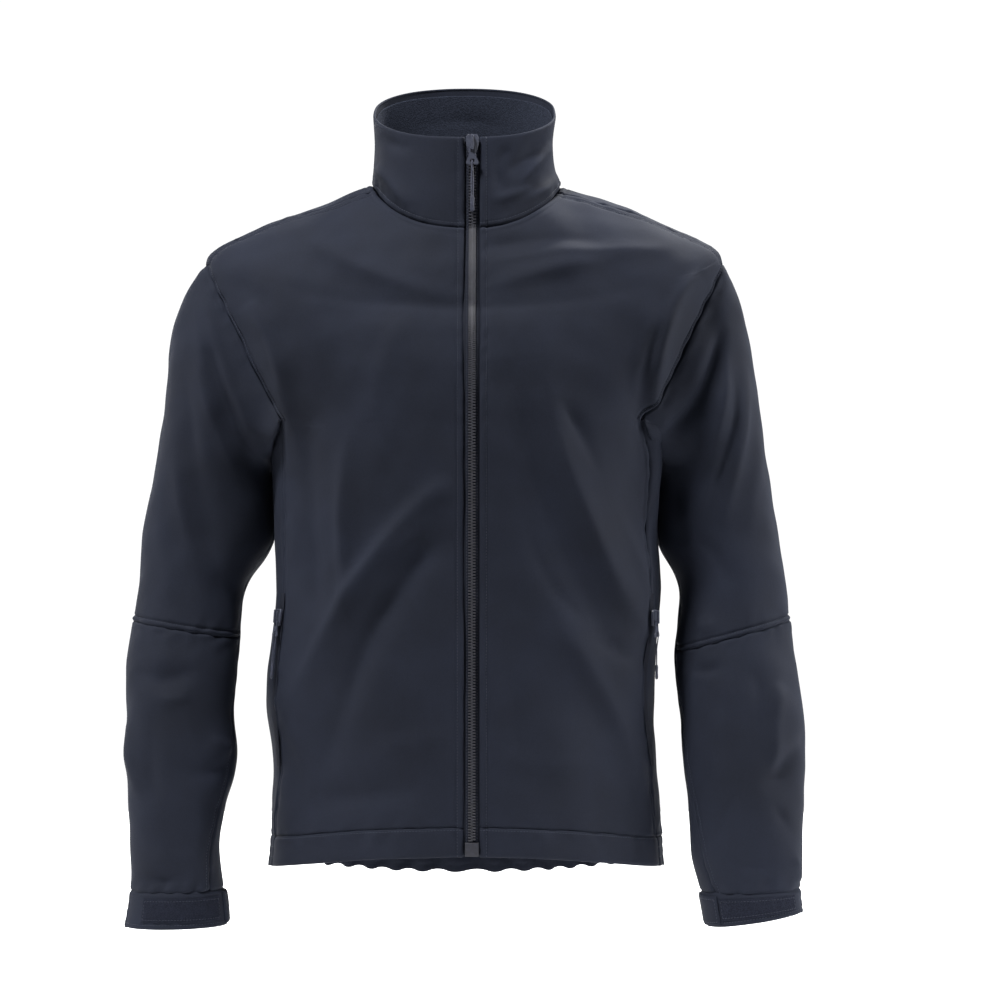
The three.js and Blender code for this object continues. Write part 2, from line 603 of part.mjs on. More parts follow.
// The collar goes round from one zip edge to the other, with its facing inside it.
const FACING_DROP = 8; // from the rim to the facing's edge
const FACING_GAP = 0.9;
const FACING_DEPTH = 1.4;
const TAPE_REACH = 9.2; // the zip tape's edge from the zip's line
function buildCollar() {
  const place = (low, high, fromZip) => (u, v) => {
    const s = mix(low, high, v);
    const start = angleAt(COLLAR, ZIP_X + fromZip, s);
    const end = angleAt(COLLAR, ZIP_X - fromZip, s) - 360;
    return [mix(start, end, u), s];
  };
  const shared = { surface: collar, normal: collarNormal };
  const whole = place(SEAM_GAP, COLLAR_SLOPE, ZIP_OPENING / 2);
  const outside = { ...shared, place: whole, columns: 32, rows: 5 };
  addPiece("collar", cutWall({ ...outside, top: 0, foot: -CLOTH }), fabric());
  const within = place(2, COLLAR_SLOPE - FACING_DROP, TAPE_REACH + 0.8);
  const facing = { ...shared, place: within, columns: 32, rows: 4 };
  const top = -CLOTH - FACING_GAP;
  addPiece("collar_facing", cutWall({ ...facing, top, foot: top - FACING_DEPTH }), darkFabric());
}

const CAP_ROWS = 6;
const UPPER_ROWS = 6;
const LOWER_ROWS = 9;
const UPPER_TOP = -CAP_LENGTH;

// The height of a row down the upper sleeve, closer together in the cap.
function upperRow(v) {
  const row = v * (CAP_ROWS + UPPER_ROWS);
  const elbow = ELBOW_SEAM - SEAM_GAP / 2;
  return row < CAP_ROWS
    ? mix(UPPER_TOP, 0, row / CAP_ROWS)
    : mix(0, elbow, (row - CAP_ROWS) / UPPER_ROWS);
}
const lowerRow = (v) => mix(ELBOW_SEAM + SEAM_GAP / 2, CUFF_SEAM - SEAM_GAP / 2, v);
const rowsOf = (row, count) => Array.from({ length: count + 1 }, (_, i) => row(i / count));
const UNDER_ROWS = [
  ...rowsOf(upperRow, CAP_ROWS + UPPER_ROWS),
  ...rowsOf(lowerRow, LOWER_ROWS).slice(1),
];

function buildSleeves() {
  const gap = 0.16; // degrees, about half a seam gap
  // Columns of the over sleeve start on the armhole's own rows.
  const overTurns = [220 - 360, ...ARMHOLE_TURNS.filter((t) => t > 220 && t < 360).map((t) => t - 360)];
  overTurns.push(...ARMHOLE_TURNS.filter((t) => t < 160), 160);
  const first = overTurns[0];
  const full = overTurns[overTurns.length - 1] - first;
  for (const { name, sign } of SIDES) {
    const surface = sleeveSurfaces[name];
    const normal = (turn, s) => sleeveNormal(name, sign, turn, s);
    const over = (row) => (u, v) => {
      const s = row(v);
      const from = read(UNDERARM_BACK, "turn", s) - 360 + gap;
      const to = read(UNDERARM_FRONT, "turn", s) - gap;
      const share = (overTurns[Math.round(u * (overTurns.length - 1))] - first) / full;
      return [mix(from, to, share), s];
    };
    const shared = { surface, normal, columns: overTurns.length - 1, top: 0, foot: -CLOTH };
    const upper = { ...shared, place: over(upperRow), rows: CAP_ROWS + UPPER_ROWS };
    addPiece(`sleeve_${name}_upper`, cutWall(upper), fabric());
    const lower = { ...shared, place: over(lowerRow), rows: LOWER_ROWS };
    addPiece(`sleeve_${name}_lower`, cutWall(lower), fabric());

    const under = (u, v) => {
      const s = UNDER_ROWS[Math.round(v * (UNDER_ROWS.length - 1))];
      const from = read(UNDERARM_FRONT, "turn", s) + gap;
      return [mix(from, read(UNDERARM_BACK, "turn", s) - gap, u), s];
    };
    const piece = { ...shared, place: under, columns: 3, rows: UNDER_ROWS.length - 1 };
    addPiece(`sleeve_${name}_under`, cutWall(piece), fabric());
    buildCuff(name, sign, surface, normal);
  }
}

// Each cuff: a band, plain in front and gathered behind, a loop patch and a tab that grips it.
const PATCH = {
  left: { from: 38, to: 131 },
  right: { from: 52, to: 152 },
};
const TAB = {
  left: { from: 133, to: 215 },
  right: { from: 163, to: 240 },
};
const PATCH_DEPTH = 1.4;
const TAB_DEPTH = 2.2;
function buildCuff(name, sign, surface, normal) {
  const gather = (turn) => {
    const into = THREE.MathUtils.smoothstep(turn, CUFF_GATHER.from, CUFF_GATHER.from + 20);
    const out = THREE.MathUtils.smoothstep(turn, CUFF_GATHER.to - 20, CUFF_GATHER.to);
    const share = (turn - CUFF_GATHER.from) / (CUFF_GATHER.to - CUFF_GATHER.from);
    return into * (1 - out) * Math.sin(2 * Math.PI * CUFF_WAVES * share);
  };
  const start = 30; // the band's own join, inside the plain stretch
  const place = (u, v) => [start + 360 * u, mix(CUFF_SEAM + SEAM_GAP / 2, CUFF_EDGE, v)];
  const top = (u, v) => CUFF_WAVE_HEIGHT * gather(start + 360 * u) * mix(0.35, 1, v);
  const foot = (u, v) => top(u, v) - CLOTH;
  const band = { place, surface, normal, columns: 56, rows: 1, top, foot, closed: true };
  addPiece(`cuff_${name}`, cutWall(band), fabric());

  const strip = (range, low, high) => (u, v) => [mix(range.from, range.to, u), mix(low, high, v)];
  const over = { surface, normal, rows: 1, foot: 0.45 };
  const patch = { place: strip(PATCH[name], CUFF_SEAM + 6, CUFF_EDGE - 7), columns: 10 };
  const patchTop = 0.45 + PATCH_DEPTH;
  addPiece(`loop_patch_${name}`, cutWall({ ...over, ...patch, top: patchTop }), darkFabric());
  const tab = { place: strip(TAB[name], CUFF_SEAM + 3, CUFF_EDGE - 2), columns: 8 };
  const lift = SEAM_GAP + CUFF_WAVE_HEIGHT;
  const tabFoot = (u) => mix(0.5, lift, THREE.MathUtils.smoothstep(u, 0.55, 0.8));
  const tabTop = (u) => tabFoot(u) + TAB_DEPTH;
  addPiece(`cuff_tab_${name}`, cutWall({ ...over, ...tab, top: tabTop, foot: tabFoot }), fabric());
}

// Solids for the small hard parts.
function toSolid(geometry) {
  const bare = geometry.clone();
  bare.deleteAttribute("normal");
  bare.deleteAttribute("uv");
  const merged = mergeVertices(bare, 1e-4);
  const vertProperties = new Float32Array(merged.getAttribute("position").array);
  const triVerts = new Uint32Array(merged.getIndex().array);
  return new wasm.Manifold(new wasm.Mesh({ numProp: 3, vertProperties, triVerts }));
}
function toGeometry(solid) {
  const mesh = solid.getMesh();
  const geometry = new THREE.BufferGeometry();
  geometry.setAttribute("position", new THREE.BufferAttribute(mesh.vertProperties, 3));
  return geometry.setIndex(new THREE.BufferAttribute(mesh.triVerts, 1));
}
const joined = (...parts) => toGeometry(parts.map(toSolid).reduce((all, one) => all.add(one)));

// The zip's line up the front and the collar: a frame at a height along the cloth.
// x is across the zip, out is away from the cloth, up follows it.
function zipFrame(s) {
  const onBody = s < NECK_SEAM;
  const table = onBody ? BODY : COLLAR;
  const place = onBody ? s : s - NECK_SEAM;
  const angle = angleAt(table, ZIP_X, place);
  const point = ringPoint(table, angle, place);
  const above = ringPoint(table, angle, place + 1);
  const up = above.sub(point).setX(0).normalize();
  point.x = ZIP_X;
  const out = new THREE.Vector3(0, -up.z, up.y);
  return { point, up, out };
}

// Where the zip passes the neck seam its line is rounded over a short stretch.
const ZIP_TOP = NECK_SEAM + COLLAR_SLOPE;
function zipLine(s) {
  const round = 5;
  const frame = zipFrame(s);
  if (Math.abs(s - NECK_SEAM) >= round) return frame;
  const low = zipFrame(NECK_SEAM - round);
  const high = zipFrame(NECK_SEAM + round);
  const t = (s - NECK_SEAM + round) / (2 * round);
  const middle = zipFrame(NECK_SEAM).point;
  const start = low.point.clone().lerp(middle, t);
  const point = start.lerp(middle.clone().lerp(high.point, t), t);
  const up = low.up.clone().lerp(high.up, t).normalize();
  return { point, up, out: new THREE.Vector3(0, -up.z, up.y) };
}

// A strip that follows the zip's line, between two places across it and two heights over it.
function zipStrip(low, high, left, right, top, foot, rows) {
  const column = (x, out) =>
    Array.from({ length: rows + 1 }, (_, j) => {
      const frame = zipLine(mix(low, high, j / rows));
      return frame.point.clone().addScaledVector(frame.out, out).add(new THREE.Vector3(x, 0, 0));
    });
  return wallGeometry([column(left, top), column(right, top)], [column(left, foot), column(right, foot)]);
}

const ZIP_ROWS = 36;
const BOX_TOP = 15;
const CHAIN_TOP = 0.2; // the chain's face over the cloth's
const TAPE_TOP = -3.5; // behind the fronts' folded edges
function buildZip() {
  const foot = CHAIN_TOP - CHAIN_DEPTH;
  const half = CHAIN_WIDTH / 2;
  const chain = zipStrip(BOX_TOP + SEAM_GAP, ZIP_TOP - 1, -half, half, CHAIN_TOP, foot, ZIP_ROWS);
  addPiece("zip_chain", chain, plastic());
  for (const { name, sign } of SIDES) {
    const [near, far] = [sign * 0.3, sign * TAPE_REACH];
    const edges = [Math.min(near, far), Math.max(near, far)];
    const strip = zipStrip(2, ZIP_TOP - 4, ...edges, TAPE_TOP, TAPE_TOP - TAPE_DEPTH, ZIP_ROWS);
    addPiece(`zip_tape_${name}`, strip, darkFabric());
  }
  // The box and pin that hold the two sides together at the hem.
  addPiece("zip_box", zipStrip(1, BOX_TOP, -6.5, 6.5, 2, foot, 1), plastic());
}

// Each zip's slider and pull are made in a frame of their own: x across the zip, y out of the
// cloth, z up the zip. The slider's origin is on the chain's face at its foot, and the pull's is
// the pivot it swings on, a cross bar inside the slider's arch.
const SLIDER = { width: 12, length: 18, face: 2.4 };
const ARCH = { width: 2.4, bar: 1.4, reach: 5, low: 2.7, high: 15.6 };
const PIVOT = { out: 4.6, up: 5.3 };
const PULL = { top: 0.7, foot: -17.3, depth: 1.4, windowTop: -0.7, windowFoot: -5.7 };
const PULL_HALF_WIDTH = { top: 2.8, neck: 3.4, foot: 6.2 };
const PULL_HOLE = { top: -12, foot: -15, halfWidth: 2 };

function sliderGeometry(k) {
  const { width, length, face } = SLIDER;
  const half = (width / 2) * k;
  // Seen from the front the slider narrows to its foot and its top.
  const side = [
    [0.66, 0],
    [1, 0.45],
    [1, 0.86],
    [0.72, 1],
  ].map(([x, z]) => new THREE.Vector2(x * half, z * length * k));
  const other = side.map((p) => new THREE.Vector2(-p.x, p.y)).reverse();
  const plate = new THREE.ExtrudeGeometry(new THREE.Shape([...side, ...other]), {
    depth: face * k,
    bevelEnabled: false,
  });
  plate.rotateX(Math.PI / 2).translate(0, SEAM_GAP + face * k, 0);
  const root = SEAM_GAP + (face - 0.4) * k;
  const reach = (ARCH.reach + 0.4) * k;
  const bar = (height, depth, out, up) =>
    new THREE.BoxGeometry(ARCH.width * k, depth, height).translate(0, out + depth / 2, up + height / 2);
  const lower = bar(ARCH.bar * k, reach, root, ARCH.low * k);
  const upper = bar(ARCH.bar * k, reach, root, ARCH.high * k);
  const rise = (ARCH.high - ARCH.low + ARCH.bar) * k;
  const bridge = bar(rise, ARCH.bar * k, root + reach - ARCH.bar * k, ARCH.low * k);
  return joined(plate, lower, upper, bridge);
}

function pullGeometry(k) {
  const { top, foot, depth, windowTop, windowFoot } = PULL;
  const wide = PULL_HALF_WIDTH;
  // Half of its outline, from the top: it flares to a wide foot with rounded corners.
  const side = [
    [wide.top, top],
    [wide.neck, windowFoot - 1],
    [wide.neck * 1.15, foot + 7],
    [wide.foot, foot + 2.6],
    [wide.foot * 0.98, foot + 1],
    [wide.foot * 0.84, foot],
  ].map(([x, z]) => new THREE.Vector2(x * k, z * k));
  const other = side.map((p) => new THREE.Vector2(-p.x, p.y)).reverse();
  const shape = new THREE.Shape([...side, ...other]);
  const hole = (halfWidth, high, low) =>
    new THREE.Path(
      [
        [-halfWidth, high],
        [-halfWidth, low],
        [halfWidth, low],
        [halfWidth, high],
      ].map(([x, z]) => new THREE.Vector2(x * k, z * k)),
    );
  shape.holes.push(hole(ARCH.width / 2 + 0.45, windowTop, windowFoot));
  shape.holes.push(hole(PULL_HOLE.halfWidth, PULL_HOLE.top, PULL_HOLE.foot));
  const settings = { depth: depth * k, bevelEnabled: false, curveSegments: 5 };
  const plate = new THREE.ExtrudeGeometry(shape, settings);
  return plate.rotateX(Math.PI / 2).translate(0, (depth / 2) * k, 0);
}

// The puller: a short stiff loop of string through the tab's hole, and its moulded end.
const PULLER = { string: 0.75, drop: 34, end: 16, halfWidth: 2.2, halfDepth: 1.6 };
function pullerGeometry(k) {
  const { string, drop, end, halfWidth, halfDepth } = PULLER;
  const saddle = PULL_HOLE.foot + 0.85 + string;
  const low = saddle - drop;
  const clear = PULL.depth / 2 + 0.45 + string;
  // Half of the loop, from the hole down: its reach sideways, its reach out and its height.
  const half = [
    [0, 0.25, saddle + 0.1],
    [0, clear * 0.8, saddle - 0.3],
    [0, clear, saddle - 2.1],
    [0.3, clear * 0.95, saddle - 5],
    [0.9, 0.45, mix(saddle, low, 0.5)],
    [0.85, 0.4, low - 1.5],
  ];
  const route = [...half.map(([x, y, z]) => [-x, -y, z]).reverse(), ...half];
  const path = new THREE.CatmullRomCurve3(route.map((p) => new THREE.Vector3(...p).multiplyScalar(k)));
  const section = new THREE.Shape().absarc(0, 0, string * k, 0, 2 * Math.PI, false);
  const settings = { steps: 20, extrudePath: path, bevelEnabled: false, curveSegments: 3 };
  const loop = new THREE.ExtrudeGeometry(section, settings);
  // The end is waisted, so that fingers grip it. Rows are the radius and the place along it.
  const profile = [
    [0, 0],
    [0.75, 0.03],
    [1, 0.16],
    [0.84, 0.5],
    [1, 0.84],
    [0.75, 0.98],
    [0, 1],
  ].map(([r, t]) => new THREE.Vector2(r * halfWidth * k, (low - end + t * end) * k));
  const grip = new THREE.LatheGeometry(profile, 8);
  grip.rotateX(Math.PI / 2).scale(1, halfDepth / halfWidth, 1);
  return joined(loop, grip);
}

// Adds a slider with its pull to a zip, at a frame on the chain's face.
function addSlider(prefix, k, { point, out, up }, hang = up) {
  const basis = (z) => new THREE.Matrix4().makeBasis(out.clone().cross(z).normalize(), out, z);
  const group = new THREE.Group();
  group.position.copy(point);
  group.setRotationFromMatrix(basis(up));
  const slider = new THREE.Mesh(sliderGeometry(k), plastic());
  slider.name = `${prefix}_slider`;
  group.add(slider);
  jacket.add(group);
  const pull = new THREE.Group();
  pull.position.copy(point);
  pull.position.addScaledVector(out, SEAM_GAP + (PIVOT.out - SEAM_GAP) * k);
  pull.position.addScaledVector(up, PIVOT.up * k);
  pull.setRotationFromMatrix(basis(hang));
  const pieces = { pull_tab: pullGeometry(k), puller: pullerGeometry(k) };
  for (const [name, geometry] of Object.entries(pieces)) {
    const mesh = new THREE.Mesh(geometry, plastic());
    mesh.name = `${prefix}_${name}`;
    pull.add(mesh);
  }
  jacket.add(pull);
}

const SLIDER_PLACE = NECK_SEAM + 74; // the zip is closed to the collar's rim
function buildZipSlider() {
  const frame = zipLine(SLIDER_PLACE);
  frame.point.addScaledVector(frame.out, CHAIN_TOP);
  addSlider("zip", 1, frame);
}

// A pocket zip lies along each side seam, over whole rows of the panels, its slider at the top.
const POCKET = { lowRow: 2, highRow: 7, halfWidth: 4.5, depth: 1.2, lift: 0.5, scale: 0.9 };
const SLIDER_DROP = 32; // from the pocket zip's top to the slider's foot
function buildPockets() {
  for (const { name, sign } of SIDES) {
    const rowPlace = (row) => mix(HEM_SEAM + SEAM_GAP / 2, 440, row / SIDE_ROWS);
    const place = (u, v) => {
      const s = rowPlace(mix(POCKET.lowRow, POCKET.highRow, v));
      const seam = read(SIDE_SEAM, "angle", s);
      const degree = body(seam + 0.5, s).distanceTo(body(seam - 0.5, s));
      const reach = POCKET.halfWidth / degree;
      return [onSide(sign, mix(seam - reach, seam + reach, u)), s];
    };
    const top = POCKET.lift + POCKET.depth;
    const rows = POCKET.highRow - POCKET.lowRow;
    const options = { place, surface: body, normal: bodyNormal, columns: 2, rows, foot: POCKET.lift };
    addPiece(`pocket_${name}_zip`, cutWall({ ...options, top }), plastic());

    const onSeam = (s) => body(onSide(sign, read(SIDE_SEAM, "angle", s)), s);
    const foot = rowPlace(POCKET.highRow) - SLIDER_DROP;
    const angle = onSide(sign, read(SIDE_SEAM, "angle", foot));
    const out = bodyNormal(angle, foot).setZ(0).normalize();
    const point = onSeam(foot);
    // The pull hangs straight down, or along the cloth where that reaches further out below.
    const below = onSeam(foot - 60).sub(point);
    const lean = Math.max(0, below.dot(out) / -below.z);
    const up = new THREE.Vector3(0, 0, 1).addScaledVector(out, -lean).normalize();
    const square = new THREE.Vector3().crossVectors(up, out).cross(up).normalize();
    point.addScaledVector(square, top + 0.5);
    addSlider(`pocket_${name}`, POCKET.scale, { point, out: square, up });
  }
}

buildFronts();
buildBack();
buildHems();
buildCollar();
buildSleeves();
buildZip();
buildZipSlider();
buildPockets();

export default jacket;
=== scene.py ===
# A man's softshell jacket, filled out as if worn: cloth, stitching, zips and studio.
# Sizes are in millimetres until a mesh is made: +X is the wearer's left, -Y the front, +Z up.
import itertools
import math

import bmesh
import bpy
import numpy as np
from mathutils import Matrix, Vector


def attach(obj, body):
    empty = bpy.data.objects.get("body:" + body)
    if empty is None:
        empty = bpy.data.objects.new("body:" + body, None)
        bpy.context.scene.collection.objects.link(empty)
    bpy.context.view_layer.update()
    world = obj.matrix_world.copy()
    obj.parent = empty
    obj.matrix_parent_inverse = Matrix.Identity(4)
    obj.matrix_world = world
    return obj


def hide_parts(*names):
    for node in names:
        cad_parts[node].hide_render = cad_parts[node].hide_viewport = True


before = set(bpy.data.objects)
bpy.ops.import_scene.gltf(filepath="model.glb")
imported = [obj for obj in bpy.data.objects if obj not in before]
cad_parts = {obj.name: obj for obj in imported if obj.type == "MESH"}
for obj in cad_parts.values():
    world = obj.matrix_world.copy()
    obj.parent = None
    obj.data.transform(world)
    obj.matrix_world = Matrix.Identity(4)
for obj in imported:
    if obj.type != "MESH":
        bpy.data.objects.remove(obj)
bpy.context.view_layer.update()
MM = 0.001

# Driving dimensions
CLOTH = 1.8
HEM_CLOTH = 2.4
ROUNDNESS = 2.3
SLEEVE_ROUNDNESS = 2.15
ZIP_X = 8
ZIP_OPENING = 15
HEM_SEAM = 30
NECK_SEAM = 785
SHOULDER_POINT = 598
FOOT_UP = 440  # where the side seam reaches the armhole
CAP_LENGTH = 190
ELBOW_SEAM = 165
CUFF_SEAM = 432
CUFF_EDGE = 468
COLLAR_SLOPE = 90
FACING_DROP = 8
FACING_REACH = 10
SIDES = (("left", 1), ("right", -1))


def table(columns, text):
    """A table with named columns, written as text, as one array for each column."""
    rows = np.array([line.split() for line in text.strip().splitlines()], float)
    return dict(zip(columns.split(), rows.T))


# The body's rings, from the hem's edge to the neck: s runs up the side, front, side and back are
# heights, half the half width, shift the middle, chest and spine the reach to front and back,
# and bow how fast a ring rises from the side to the middle.
RING_COLUMNS = "s front side back half shift chest spine bow"
BODY = table(RING_COLUMNS, """
0 -657 -677 -700 198 0.5 138 128 2
30 -629 -648 -671 195 1 139 129 2
101 -562 -576 -596 191 0.5 140 130 2
165 -500 -512 -527 193 -5 138 127 2
275 -394 -402 -411 193 3 134 120 2
347 -324 -330 -334 192 1 133 121 2
405 -268 -272 -272 193.5 0 133 124 2
440 -234 -238 -236 197 0 132 125 2
469 -207 -209 -205 210 0 131 124 2
498 -184 -180 -172 228 0 129 122 2
526 -164 -151 -142 239 0 126 119 2
551 -149 -126 -117 248 0 122 115 2
576 -137 -101 -92 254 0 117 110 2
598 -128 -79 -72 257 -1 112 104 1.9
620 -117 -66 -57 248.5 -1 109 101 1.9
652 -103 -49.5 -40 218 1 105 97 1.8
691 -87 -33.5 -22 183 2 100 91 1.7
739 -68 -16 -2 136 3 92 83 1.5
785 -50 0 15 95 2 85 76 1.4
""")
COLLAR = table(RING_COLUMNS, """
0 -50 0 15 95 2 85 76 1.4
22 -27 18 38 91 0 83.5 74 1.25
50 0 41 66 89.5 -0.5 81.5 72 1.05
90 39 72 105 92 0 80 70 0.87
""")
# The sleeves' rings, from the upper arm to the cuff's edge: each side of a ring seen from the
# front, out from the middle and up, and its middle and half thickness from front to back.
SLEEVE_COLUMNS = "s outerX outerZ innerX innerZ y depth"
SLEEVE = {
    "left": table(SLEEVE_COLUMNS, """
0 302.5 -270 193.5 -292 26 72
64 313.5 -335 194 -354 27 66
118 318.5 -387 215.5 -402 18 60
165 323.5 -435 209 -466 4 57
208 329.5 -482 210.5 -497 -9 56
255 335 -528 215.5 -531 -20 54
305 336.5 -578 217 -577 -29 52
352 336 -626 220.5 -623 -36 49
398 334 -669 224 -666 -40 45
432 331.5 -697 232.5 -700 -43 41
468 333.5 -719 238 -734 -45 42
"""),
    "right": table(SLEEVE_COLUMNS, """
0 309.5 -272 192.5 -294 26 72
64 323 -335 192 -354 27 66
118 327.5 -388 218.5 -402 18 60
165 333 -435 224.5 -452 4 57
208 337.5 -477 226 -483 -9 56
255 336 -523 229 -525 -20 54
305 335 -571 226 -572 -29 52
352 333.5 -618 235 -616 -36 48
398 332 -664 241 -660 -40 44
432 329.5 -699 236.5 -697 -43 41
468 334 -734 232 -732 -45 42
"""),
}
# Seams on the body: the angle is from the side towards the front, in degrees.
SIDE_SEAM = table("s angle", """
0 15
101 19
165 22.5
250 23
330 22.5
385 23
412 25.5
440 30.4
""")
SHOULDER_SEAM = table("s angle", """
598 7
652 10
739 13
785 16
""")
# The armhole, once round: turn 0 is the shoulder point, 90 the front, 180 under the arm.
ARMHOLE_FOOT = 140
ARMHOLE = table("s up angle", """
0 598 7
20 588 11.5
40 571 16
60 549 19.5
80 520 22.8
100 489 24.5
120 461 26.5
140 440 30.4
160 442.5 17
180 446.5 2
200 455 -12
220 471 -22
240 494 -27.5
260 519 -29.5
280 543 -28.5
300 565 -24.5
320 581.5 -15.5
340 592.5 -4
360 598 7
""")
UNDERARM_FRONT = table("s turn", """
-190 160
0 168
165 176
230 176
300 165
432 137
""")
UNDERARM_BACK = table("s turn", """
-190 220
165 224
432 222
""")

# Folds, seen from the front: each runs from a first point through a second to a third. width is
# its reach to each side, lean makes it steeper on one side, and a trough's height is negative.
# The largest come first, as the cloth hangs from the chest and the arms, and then finer ones.
FOLD_COLUMNS = "face x0 z0 x1 z1 x2 z2 width height lean".split()


def folds(text):
    """Rows of folds from a text table; a fold that leans to neither side has no last number."""
    rows = [list(map(float, line.split())) for line in text.strip().splitlines()]
    return [dict(zip(FOLD_COLUMNS, row + [0.0])) for row in rows]


BODY_FOLDS = folds("""
1 230 -92 186 -178 190 -345 12 8 0.4
1 -208 -120 -180 -186 -160 -275 13 7 -0.3
1 76 -185 122 -345 188 -455 16 7 0.4
1 44 -175 86 -335 150 -460 20 -5.5
1 95 -440 140 -512 178 -600 16 5.5 0.2
1 -12 -300 -84 -366 -174 -520 15 7 0.4
1 -6 -350 -70 -415 -140 -575 19 -5
1 -116 -262 -119 -345 -112 -425 12 4.5 0.3
1 -152 -245 -149 -340 -140 -430 18 -5.5
1 -165 -48 -95 -92 -8 -118 17 4 0.2
1 22 -108 112 -86 210 -66 15 4 0.2
1 -150 -604 -100 -600 -40 -590 17 -4
-1 -200 -130 -150 -260 -80 -380 20 5 0.3
-1 195 -140 140 -290 60 -400 20 5 -0.3
-1 -150 -420 0 -450 150 -415 20 -4
-1 -120 -540 -20 -560 100 -530 20 3
1 -196 -150 -186 -182 -168 -215 7 -2.2
1 205 -120 180 -175 178 -235 6 -2
1 186 -130 172 -168 168 -215 9 1.6 0.3
1 20 -69 75 -62 135 -63 9 -1.4
1 25 -84 110 -74 195 -73 8 1.5 0.3
1 92 -217 112 -250 130 -290 9 -2 0.3
1 66 -205 82 -250 98 -300 8 1.4
1 -115 -292 -117 -345 -112 -398 8 1.6 0.4
1 -33 -330 -52 -352 -78 -372 7 1.5 0.4
1 -60 -402 -92 -446 -112 -500 10 -1.6
1 60 -340 84 -396 121 -432 8 -1.8 0.3
1 150 -330 172 -372 180 -420 8 1.5 0.2
1 118 -440 150 -462 184 -474 8 -1.4
1 -80 -556 -48 -548 -15 -543 10 1.4 0.2
1 30 -560 78 -572 128 -566 12 1.3 0.2
1 -175 -300 -168 -350 -172 -410 9 1.6
1 -180 -520 -158 -560 -150 -600 11 1.8
1 -60 -140 -80 -190 -84 -240 15 1.2
1 -30 -470 -44 -520 -36 -575 12 1.1 0.3
1 40 -470 52 -520 46 -580 11 -1.1
-1 -165 -190 -120 -300 -70 -350 9 -2 0.3
-1 170 -175 128 -280 66 -345 9 -2 -0.3
-1 -100 -70 -10 -82 92 -68 13 1.6
-1 -60 -300 -50 -380 -64 -470 12 1.4
-1 52 -310 60 -400 44 -480 12 1.4
-1 -160 -480 -90 -505 -20 -492 10 1.5 0.3
-1 20 -596 80 -590 150 -604 11 -1.4
-1 -150 -600 -90 -612 -30 -604 12 1.4
""")
COLLAR_FOLDS = folds("""
1 -88 14 -72 -4 -54 -30 8 2.8 0.3
1 90 38 74 20 54 -6 6 2.9 0.4
1 94 10 80 -8 62 -20 6 2 0.3
1 80 40 62 24 44 4 8 -2.2
1 46 30 34 10 40 -18 7 -1.8
1 64 -8 48 -16 26 -22 6 1.5 0.3
1 -84 46 -70 34 -52 30 8 -1.6
1 -92 -2 -78 -18 -62 -34 7 -1.8
-1 -70 30 -10 44 60 34 9 -1.1
-1 -50 66 0 72 44 64 8 0.8
""")
SLEEVE_FOLDS = {
    "left": folds("""
1 256 -146 233 -210 196 -254 11 -7 0.25
1 258 -109 256 -190 238 -290 12 4
1 278 -175 272 -250 253 -342 12 5 -0.2
1 207 -285 208 -320 215 -362 14 -4
1 309 -495 304 -535 304 -575 11 5 0.2
1 338 -548 318 -570 292 -600 11 -3
1 270 -585 254 -620 240 -655 13 -3
-1 300 -200 262 -290 215 -380 14 5 0.3
-1 225 -455 265 -470 315 -455 12 -6
-1 228 -540 270 -560 325 -540 13 4
1 257 -168 254 -210 243 -262 6 1.8 0.3
1 268 -196 262 -250 248 -300 5 -1.8
1 249 -264 241 -296 230 -330 6 2 0.3
1 292 -210 290 -280 281 -350 10 1.6
1 225 -352 248 -372 262 -402 8 -1.8 0.3
1 228 -432 238 -440 250 -436 6 2
1 226 -480 238 -483 254 -476 7 -2.4 0.2
1 302 -612 312 -626 322 -640 7 -1.8
1 322 -662 326 -676 328 -690 7 2.2
1 250 -520 246 -560 250 -594 9 1.8
1 258 -660 276 -672 298 -668 8 -1.8 0.2
1 280 -480 290 -506 288 -545 9 -1.6
-1 268 -330 278 -380 300 -420 10 2.4
-1 240 -500 262 -512 300 -500 8 2 0.3
-1 250 -640 280 -654 318 -640 9 -2.2
"""),
    "right": folds("""
1 255 -89 238 -180 205 -262 13 4
1 252 -164 234 -222 203 -288 12 -6 0.25
1 264 -115 256 -175 248 -235 12 4
1 278 -178 267 -280 238 -416 16 -5 0.2
1 324 -480 298 -490 262 -480 13 -3.5
1 292 -570 255 -582 222 -565 13 -3
1 332 -535 328 -570 318 -602 10 4
-1 305 -205 265 -300 220 -395 14 5 0.3
-1 232 -460 275 -478 325 -462 12 -6
-1 240 -590 280 -605 325 -585 13 4
1 255 -92 243 -156 214 -226 6 1.8 0.3
1 228 -230 214 -256 190 -280 6 1.8
1 262 -180 246 -240 218 -300 6 1.8 0.2
1 288 -240 280 -320 262 -392 8 2 0.2
1 305 -300 300 -360 290 -410 12 1.6
1 246 -548 238 -556 228 -560 6 2
1 270 -504 284 -512 306 -506 7 1.8 0.3
1 318 -681 294 -686 268 -680 8 -2.6
1 300 -654 280 -664 256 -660 8 1.6
1 300 -520 306 -566 300 -610 12 -1.6
1 262 -610 258 -636 262 -660 10 1.8
-1 276 -330 284 -390 306 -430 10 2.4
-1 250 -505 280 -520 312 -506 8 2 0.3
-1 254 -650 286 -662 322 -648 9 -2.2
"""),
}
HEM_WAVES = 26
HEM_WAVE_HEIGHT = 2.2
CUFF_WAVES = 10
CUFF_WAVE_HEIGHT = 1.8
CUFF_GATHER = (195, 385)
CUFF_START = 30
HEM_SAG = 1.7
CUFF_SAG = 1.5
SLEEVE_SPACING = 4.2
PATCH = {"left": (38, 131), "right": (52, 152)}
TAB = {"left": (133, 215), "right": (163, 240)}


def mix(a, b, t):
    return a + (b - a) * t


def smoothstep(x, low, high):
    t = np.clip((x - low) / (high - low), 0, 1)
    return t * t * (3 - 2 * t)


